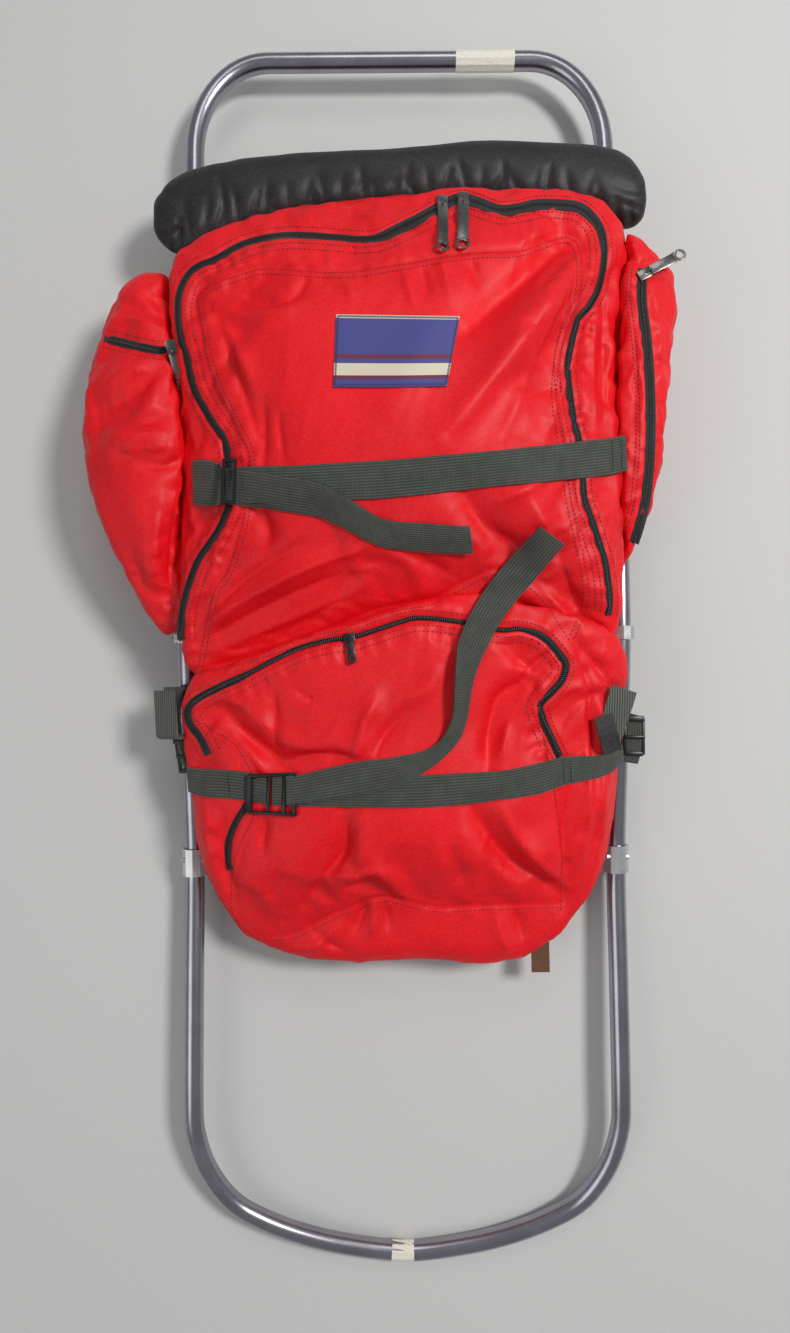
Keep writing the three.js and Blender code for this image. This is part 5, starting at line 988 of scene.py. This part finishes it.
def tape_rows(path, half, other=None):
    """The two edges of a tape, half a width either side of a line of pixels. Above the pixel row lowest, and
    between the columns left and right, it has another half width. other is these four numbers."""
    line = spline(path, 5)[:, :2]
    if other:
        left, right, lowest, other_half = other
        room = np.clip((line[:, 0] - left) / FADE, 0, 1) * np.clip((right - line[:, 0]) / FADE, 0, 1)
        half = (half + (other_half - half) * room * (line[:, 1] < lowest))[:, None]
    off = sideways(line) * half
    return [tuple(a) + tuple(b) for a, b in zip(line - off, line + off)]


# %% Lay the zips
COIL_PITCH = 1.7  # millimetres from turn to turn
coil = settle(new_primitive(
    "coil_turn", bpy.ops.mesh.primitive_cylinder_add, vertices=6, radius=0.7 * MM, depth=4.0 * MM,
    rotation=(0, math.pi / 2, 0.18)))
finish_with(coil, "BEVEL", width=0.3 * MM, segments=1, limit_method="ANGLE", angle_limit=math.radians(60))
coat(coil, COIL)
ZIPS = {
    "main_zip": (MAIN_ZIP, 3.5, (370, 608, 250, 5.6)),
    "lower_zip": (LOWER_ZIP, 3.8, (238, 540, 690, 2.2)),
    "left_pocket_zip": (LEFT_ZIP, 4.4, None),
    "right_pocket_zip": (RIGHT_ZIP, 5.0, None),
    "lower_zip_leg": (LEG_ZIP, 3.4, None),
}
for name, (path, half, other) in ZIPS.items():
    edges = tape_rows(path, half, other)
    tape = ribbon(name + "_tape", edges, skin, ZIP_TAPE, lift=0.5, thick=0.8, columns=4, taut=1)
    replaced = [name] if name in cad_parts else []  # the leg is a piece of the lower zip
    done(tape, "zip_black", *replaced)
    teeth = scatter(name + "_coil", coil, frames_along(tree_of(tape), path, COIL_PITCH, 0.1))
    done(teeth, "zip_black")
    print(name, len(teeth.data.polygons), "faces of coil")
bpy.data.objects.remove(coil)

# %% [markdown]
# ## Zip pulls
#
# A pull is a small slider on the coil and a flat nickel tab with a hole at its loose end. The lower zip's is
# black. It is put together from rounded boxes and two rings along one axis, then turned so that the tab
# points at its own tip.

# %% Make the pulls


def box_piece(size_mm, place_mm, bevel_mm=0.5):
    obj = new_primitive("box_piece", bpy.ops.mesh.primitive_cube_add, size=MM, location=Vector(place_mm) * MM)
    obj.scale = size_mm
    settle(obj)
    return finish_with(obj, "BEVEL", width=bevel_mm * MM, segments=2)


def zip_pull(name, slider, tip, material, slot, node_name, wide):
    """slider and tip are pixels of the view."""
    places, normals = lay_on(skin, [slider, tip], 3.0 * MM)
    long = (places[1] - places[0]).length / MM
    ring = new_primitive(
        "ring", bpy.ops.mesh.primitive_torus_add, major_radius=(wide / 2 - 1.2) * MM, minor_radius=1.2 * MM,
        major_segments=20, minor_segments=8, location=(0, (long - wide / 2) * MM, 1.6 * MM))
    ring.scale.z = 0.6
    settle(ring)
    loop = settle(new_primitive(
        "loop", bpy.ops.mesh.primitive_torus_add, major_radius=2.6 * MM, minor_radius=0.7 * MM,
        major_segments=16, minor_segments=6, location=(0, 1.5 * MM, 1.6 * MM), rotation=(0, math.pi / 2, 0)))
    tab = merge(name, [
        box_piece((wide * 0.8, long - wide - 1.5, 1.3), (0, (long - wide + 4.5) / 2, 1.6)),
        box_piece((wide * 0.9, 1.6, 1.6), (0, long - wide + 0.6, 1.6)), ring, loop,
        box_piece((8.5, 10.5, 1.6), (0, -2.0, 0.6)), box_piece((7.0, 8.5, 1.4), (0, -2.0, -2.2))])
    coat(tab, material, 40)
    up = (normals[0] + normals[1] + Z * 1.5).normalized()
    tab.matrix_world = turned(places[0], (places[1] - places[0]).normalized(), up)
    return done(settle(tab), slot, node_name)


PULLS = [
    ("main_pull_left_tab", (441, 204), (442, 254), NICKEL, "nickel", "main_pull_left", 10),
    ("main_pull_right_tab", (463, 203), (462, 254), NICKEL, "nickel", "main_pull_right", 11),
    ("left_pocket_pull_tab", (176, 349), (180, 393), NICKEL, "nickel", "left_pocket_pull", 9),
    ("right_pocket_pull_tab", (645, 276), (683, 256), NICKEL, "nickel", "right_pocket_pull", 10),
    ("lower_pull_tab", (350, 638), (353, 664), COIL, "zip_black", "lower_pull", 7),
]
for pull in PULLS:
    print("pull:", zip_pull(*pull).name)

# %% [markdown]
# ## The ladder buckle
#
# The lower strap is drawn tight by a black ladder buckle: two rails with four bars across, the webbing
# wrapped round the outer ones. It is put together from rounded bars between points over the skin. The two
# side buckles are made the same way, but of bars at one height over the floor.

# %% Make the ladder buckle


def bar_between(start, end, wide, thick, up):
    """A rounded bar from one place to another, wide and thick in millimetres."""
    ahead = end - start
    long = ahead.length / MM
    bar = box_piece((wide, long, thick), (0, long / 2, 0), min(wide, thick) * 0.3)
    bar.matrix_world = turned(start, ahead.normalized(), up)
    return settle(bar)


def skin_bar(tree, start, end, wide, thick, lift):
    places, normals = lay_on(tree, [start, end], lift * MM)
    return bar_between(*places, wide, thick, (normals[0] + normals[1]).normalized())


over_bands = tree_of(*cloth.values(), lower_band, lower_tail, left_band)
LADDER = [
    ((251, 775), (251, 810), 5.0, 2.4, 3.0), ((270, 774), (270, 812), 2.6, 2.2, 3.0),
    ((286, 774), (286, 813), 3.2, 2.4, 3.6), ((296, 775), (296, 813), 3.2, 2.4, 3.4),
    ((249, 775), (298, 774), 2.6, 2.6, 3.0), ((249, 811), (298, 814), 2.6, 2.6, 3.0)]
buckle = merge("ladder_buckle", [skin_bar(over_bands, *bar) for bar in LADDER])
done(coat(buckle, ACETAL, 40), "buckle_black", "lower_buckle")
print("buckle:", len(buckle.data.polygons), "faces")

# %% Make the side buckles


def flat_bar(start, end, wide, thick, height):
    return bar_between(at_height(*start, height * MM), at_height(*end, height * MM), wide, thick, Z)


SIDE_BUCKLES = {
    "left_buckle": [
        ((173, 741), (198, 742), 5.0, 3.0, 61.5), ((176, 756), (200, 757), 3.0, 3.0, 62.0),
        ((179, 771), (203, 770), 4.0, 3.0, 61.5), ((176, 740), (181, 772), 3.0, 2.6, 60.5),
        ((196, 741), (201, 771), 3.0, 2.6, 60.5)],
    "right_buckle": [
        ((624, 718), (644, 719), 5.0, 3.0, 64.0), ((625, 737), (645, 737), 3.0, 3.0, 64.5),
        ((624, 753), (643, 754), 4.0, 3.0, 64.0), ((625, 717), (625, 755), 3.0, 2.6, 63.0),
        ((643, 718), (643, 755), 3.0, 2.6, 63.0)],
}
for name, bars in SIDE_BUCKLES.items():
    clip = merge(name + "_clip", [flat_bar(*bar) for bar in bars])
    done(coat(clip, ACETAL, 40), "buckle_black", name)
print("side buckles:", list(SIDE_BUCKLES))

# %% [markdown]
# ## Stitches
#
# The seams are sewn with red thread, darker than the cloth, with about 3.4 mm from stitch to stitch. Each
# stitch is a small flat bead with 24 faces, and is only laid where the photograph shows a row of them.

# %% Sew the seams


STITCH_PITCH = 3.4  # millimetres from stitch to stitch


def beside(path, off):
    """A line of pixels moved sideways by off pixels."""
    line = spline(path, 6)[:, :2]
    return [tuple(p) for p in line + sideways(line) * off]


def bead(name, wide, long, high):
    """A small flat bead, its half sizes in millimetres."""
    obj = new_primitive(name, bpy.ops.mesh.primitive_uv_sphere_add, segments=6, ring_count=4, radius=1.0)
    obj.scale = (wide * MM, long * MM, high * MM)
    return settle(obj)


stitch = coat(bead("stitch", 0.42, 1.3, 0.36), THREAD)
SEWN = {
    "upper_stitches": [(MAIN_ZIP, 8), (MAIN_ZIP, 14), (MAIN_ZIP, -8), (PANEL_SEAM, 3), (PANEL_SEAM, 8),
                       (HEM, 5)],
    "lower_stitches": [(LOWER_ZIP, 7), (LOWER_ZIP, 13), (LOWER_ZIP, -8), (FOOT_SEAM, 4), (GUSSET, 4),
                       (LOWER_SEAM, 4)],
    "pocket_stitches": [(LEFT_ZIP, 9), (LEFT_ZIP, -9), (RIGHT_ZIP, 11), (RIGHT_ZIP, 15)],
}
for name, lines in SEWN.items():
    places = []
    for path, off in lines:
        places += frames_along(skin, beside(path, off), STITCH_PITCH, 0.15)
    done(scatter(name, stitch, places), "nylon_red")
    print(name, len(places), "stitches")
stitch.data.materials[0] = DARK_THREAD
places = []
for band, line in (
    (upper_band, [(612, 440), (613, 470)]),
    (upper_band, [(621, 439), (622, 469)]),
    (left_band, [(228, 773), (230, 797)]),
    (lower_band, [(563, 760), (564, 783)]),
    (lower_band, [(570, 759), (571, 782)]),
):
    places += frames_along(tree_of(band), line, 3.0, 0.1)
done(scatter("strap_stitches", stitch, places), "webbing_olive")
bpy.data.objects.remove(stitch)

# %% [markdown]
# ## The collar roll
#
# A foam roll in smooth black nylon closes the top of the pack. It is a soft tube whose cover is gathered
# along the lower edge and at both ends, so the pleats are pushed in there and fade out towards the top.

# %% Make the collar roll
roll = copy_node("collar_roll_cloth", "collar_roll")
finish_with(roll, "REMESH", mode="VOXEL", voxel_size=0.0045)
finish_with(roll, "SMOOTH", factor=0.5, iterations=8)
print("roll moved", round(puff(roll, [], 2.0, 0.0012, back_share=0.25, shrink=0) * 1000, 1), "mm")
finish_with(roll, "SUBSURF", levels=1, render_levels=1)
ROLL_EDGE = [(164, 268), (175, 252), (200, 240), (220, 230), (260, 217), (300, 207), (340, 201), (400, 197),
             (440, 193), (490, 190), (540, 195), (575, 200), (600, 210), (620, 224), (634, 240)]
PLEAT_STEP = 13  # pixels between two pleats
LONG_TO, DEEP_TO = 260, 265  # left of these the pleats are longer and deeper
ROLL_PLEATS = []
for k, (u, v) in enumerate(spline(ROLL_EDGE, PLEAT_STEP)[:, :2]):
    long = 24 + 11 * math.sin(k * 2.3) + (14 if u < LONG_TO else 0)
    lean = 10 * math.sin(k * 1.7)
    deep = (3.2 if u < DEEP_TO else 2.2) * (1 + 0.3 * math.sin(k * 3.1))
    path = [(u, v + 4), (u + lean * 0.5, v - long * 0.5), (u + lean, v - long)]
    ROLL_PLEATS.append((path, -deep, 4.5, 1.4))
ROLL_PLEATS += [
    ([(156, 190), (176, 196), (200, 190)], -1.6, 5, 1.4),
    ([(153, 215), (172, 214), (196, 206)], -1.6, 5, 1.4),
    ([(155, 238), (172, 232), (190, 222)], -1.6, 5, 1.4),
    ([(648, 190), (630, 190), (608, 182)], -1.6, 5, 1.4),
    ([(650, 212), (632, 206), (612, 198)], -1.6, 5, 1.4),
    ([(300, 178), (360, 184), (420, 176)], -1.2, 8, 1.8),
    ([(440, 172), (500, 170), (560, 176)], -0.8, 8, 1.8),
]
fold(roll, ROLL_PLEATS)
done(coat(roll, BLACK_NYLON), "fabric_black", "collar_roll")
print("pleats:", len(ROLL_PLEATS))

# %% [markdown]
# ## The harness under the pack
#
# The shoulder straps and the hip belt lie under the frame, hidden from the camera. They are foam in the same
# black nylon, so each is a rounded copy of its CAD piece with an even mesh. The back band is a thin one.

# %% Make the pads
# piece: (voxel in metres, rounds of smoothing)
PADS = {
    "shoulder_strap_left": (0.004, 5), "shoulder_strap_right": (0.004, 5), "hip_belt": (0.004, 5),
    "back_band": (0.003, 3)}
for node_name, (voxel, rounds) in PADS.items():
    pad = copy_node(node_name + "_cloth", node_name)
    finish_with(pad, "REMESH", mode="VOXEL", voxel_size=voxel)
    finish_with(pad, "SMOOTH", factor=0.5, iterations=rounds)
    done(coat(pad, BLACK_NYLON), "fabric_black", node_name)
print("pads:", list(PADS))

# %% [markdown]
# ## The tube frame
#
# Both hoops are one round tube each, bent in the plane of the pack and arched at the shoulders. The CAD tube
# has few sides, so a smooth one is drawn over the same middle line with a bevelled curve.

# %% The middle lines of the two hoops
HALF_W, HALF_L = 0.1795, 0.517  # of the frame over its middle lines, in metres
ARCH = 0.056  # the highest that the middle line rises
TUBE_RADIUS = 0.008
UPPER_SIDE = (-0.1805, 0.437)  # where the upper hoop's straight sides start and end
LOWER_SIDE = (-0.1835, -HALF_L + 0.145)
# along the frame as a share of HALF_L, and its height as a share of ARCH
PROFILE = [
    (-1, 0.143), (-0.935, 0.24), (-0.84, 0.41), (-0.74, 0.5), (-0.55, 0.48), (-0.35, 0.45), (-0.18, 0.7),
    (0.02, 1), (0.25, 0.93), (0.55, 0.68), (0.8, 0.55), (1, 0.536)]
# half of the foot: the share of HALF_W, and millimetres from the lowest point
FOOT_BEND = [(1, 137), (0.994, 110), (0.94, 77), (0.83, 47), (0.69, 30), (0.5, 16), (0.28, 6), (0, 0)]


def frame_lift(y):
    """A smooth curve through PROFILE."""
    stops, lifts = zip(*PROFILE)
    at = y / HALF_L
    k = max(0, min(len(stops) - 2, int(np.searchsorted(stops, at)) - 1))

    def slope(i):
        a, b = max(i - 1, 0), min(i + 1, len(stops) - 1)
        return (lifts[b] - lifts[a]) / (stops[b] - stops[a])

    wide = stops[k + 1] - stops[k]
    t = (at - stops[k]) / wide
    ends = (2 * t**3 - 3 * t**2 + 1) * lifts[k] + (-2 * t**3 + 3 * t**2) * lifts[k + 1]
    slopes = (t**3 - 2 * t**2 + t) * wide * slope(k) + (t**3 - t**2) * wide * slope(k + 1)
    return ARCH * (ends + slopes)


def mirrored(half):
    return [(-x, y) for x, y in reversed(half)]


def upper_line():
    start, end = UPPER_SIDE
    side = [(-HALF_W, y) for y in np.linspace(start, end, 50)]
    turn = np.linspace(0, math.pi / 2, 14)[1:]
    bend = [(-HALF_W + 0.064 * (1 - math.cos(a)), end + 0.08 * math.sin(a)) for a in turn]
    return side + bend + mirrored(side + bend)


def lower_line():
    corner = [(-HALF_W * share, -HALF_L + high * MM) for share, high in FOOT_BEND]
    bend = [tuple(p) for p in spline(corner + mirrored(corner[:-1]), 0.008)]
    side = [(-HALF_W, y) for y in np.linspace(*LOWER_SIDE, 24)]
    return side + bend + mirrored(side)


def tube(name, line):
    bpy.ops.object.select_all(action="DESELECT")
    bpy.ops.curve.primitive_nurbs_path_add()
    obj = bpy.context.active_object
    obj.name = name
    curve = obj.data
    curve.splines.clear()
    path = curve.splines.new("POLY")
    path.points.add(len(line) - 1)
    for point, (x, y) in zip(path.points, line):
        point.co = (x + MIDDLE.x, y + MIDDLE.y, frame_lift(y) + MIDDLE.z, 1)
    curve.dimensions = "3D"
    curve.bevel_depth = TUBE_RADIUS
    curve.bevel_resolution = 8
    curve.use_fill_caps = True
    pick(obj)
    bpy.ops.object.convert(target="MESH")
    obj = bpy.context.active_object
    obj.data.name = name
    return coat(settle(obj), TUBE, 50)


for node_name, line in (("upper_hoop", upper_line()), ("lower_hoop", lower_line())):
    new = get_points(done(tube(node_name + "_tube", line), "tube_anodised", node_name))
    low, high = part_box(node_name)
    print(node_name, "CAD", [round(v, 4) for v in (*low, *high)])
    print(node_name, "new", [round(float(v), 4) for v in (*new.min(axis=0), *new.max(axis=0))])

# %% [markdown]
# ## The label
#
# The patch is printed blue cloth with a sewn edge. The original carries lettering and a picture, which are
# left out. It has a plain pattern of the same colours instead: a cream band and two maroon stripes.

# %% Make the label
PRINT_LONG = 0.06  # the length of the printed pattern in metres
LABEL, label_shader = new_material("label_cloth_blue", Roughness=0.7, Sheen_Weight=0.2)
label_uv = node(LABEL, "ShaderNodeTexCoord").outputs["UV"]
label_split = node(LABEL, "ShaderNodeSeparateXYZ", {"Vector": label_uv})
label_across = node(LABEL, "ShaderNodeMapRange", {"Value": label_split.outputs["X"], "From Max": PRINT_LONG})
label_stops = [
    (0.0, "#c9bfae"), (0.05, "#434387"), (0.52, "#6a2440"), (0.58, "#434387"), (0.64, "#d5cbb4"),
    (0.8, "#6a2440"), (0.85, "#434387"), (0.96, "#c9bfae")]
label_colour = node(LABEL, "ShaderNodeValToRGB", {"Fac": label_across.outputs["Result"]}, label_stops)
label_colour.color_ramp.interpolation = "CONSTANT"
link(LABEL, label_colour.outputs["Color"], label_shader.inputs["Base Color"])
label = ribbon(
    "label_patch_cloth", [(336, 314, 333, 387), (400, 315, 391, 387), (460, 316, 447, 386)], skin, LABEL,
    lift=1.5, thick=1.0, columns=9, taut=6)
done(label, "label_blue", "label_patch")
label_tree = tree_of(label)
edge_stitch = bead("edge_stitch", 0.9, 0.45, 0.35)
edge_stitch.data.materials.append(EDGE_THREAD)
corners = [(338, 316), (458, 318), (446, 384), (335, 385), (338, 316)]
places = []
for line in zip(corners, corners[1:]):
    places += frames_along(label_tree, line, 1.1, 0.1)
done(scatter("label_edge", edge_stitch, places), "label_blue")
bpy.data.objects.remove(edge_stitch)

# %% [markdown]
# ## Finishes for the CAD pieces that stay
#
# The collars, crossbars, cloth tapes, ring, loops, keeper, leather tab and belt buckle are hard or thin
# enough as they are, so they keep their CAD meshes and get the materials made above. The loops have no UV
# map, so their webbing is drawn in the object's own coordinates. The replaced CAD pieces get a finish too.

# %% Give every CAD piece its material
LOOP_RIB_MM = 2.1
WEBBING_LOOP, loop_shader = new_material("webbing_olive_loop", Roughness=0.82, Sheen_Weight=0.2)
loop_coords = node(WEBBING_LOOP, "ShaderNodeTexCoord").outputs["Object"]
loop_values = {"Vector": loop_coords, "Scale": BAND_SCALE / (LOOP_RIB_MM * MM)}
loop_ribs = node(WEBBING_LOOP, "ShaderNodeTexWave", loop_values, bands_direction="X").outputs["Fac"]
loop_stops = [(0.1, "#30332e"), (0.8, "#64675c")]
loop_colour = node(WEBBING_LOOP, "ShaderNodeValToRGB", {"Fac": loop_ribs}, loop_stops)
link(WEBBING_LOOP, loop_colour.outputs["Color"], loop_shader.inputs["Base Color"])
loop_bump = node(WEBBING_LOOP, "ShaderNodeBump", {"Height": loop_ribs, "Strength": 0.6, "Distance": 0.4 * MM})
link(WEBBING_LOOP, loop_bump.outputs["Normal"], loop_shader.inputs["Normal"])
FINISH = {
    RED_NYLON: ["upper_bag", "lower_bag", "left_pocket", "right_pocket"],
    BLACK_NYLON: ["collar_roll", "shoulder_strap_left", "shoulder_strap_right", "hip_belt", "back_band",
                  "right_keeper"],
    WEBBING_LOOP: ["upper_strap", "upper_anchor", "lower_strap", "lower_strap_left", "left_loop",
                   "right_loop"],
    TUBE: ["upper_hoop", "lower_hoop", "crossbar_top", "crossbar_middle", "crossbar_lumbar"],
    COLLAR: ["collar_joint_left", "collar_joint_right", "collar_middle_left", "collar_middle_right"],
    TAPE: ["tape_top", "tape_bottom"],
    COIL: ["main_zip", "lower_zip", "left_pocket_zip", "right_pocket_zip", "lower_pull"],
    NICKEL: ["main_pull_left", "main_pull_right", "left_pocket_pull", "right_pocket_pull"],
    ACETAL: ["upper_ring", "lower_buckle", "left_buckle", "right_buckle", "belt_buckle"],
    LABEL: ["label_patch"],
    LEATHER: ["bottom_tab"],
}
finished = set()
for material, names in FINISH.items():
    for node_name in names:
        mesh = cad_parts[node_name].data
        mesh.materials.clear()
        mesh.materials.append(material)
        finished.add(node_name)
print("CAD pieces without a finish:", sorted(set(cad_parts) - finished))
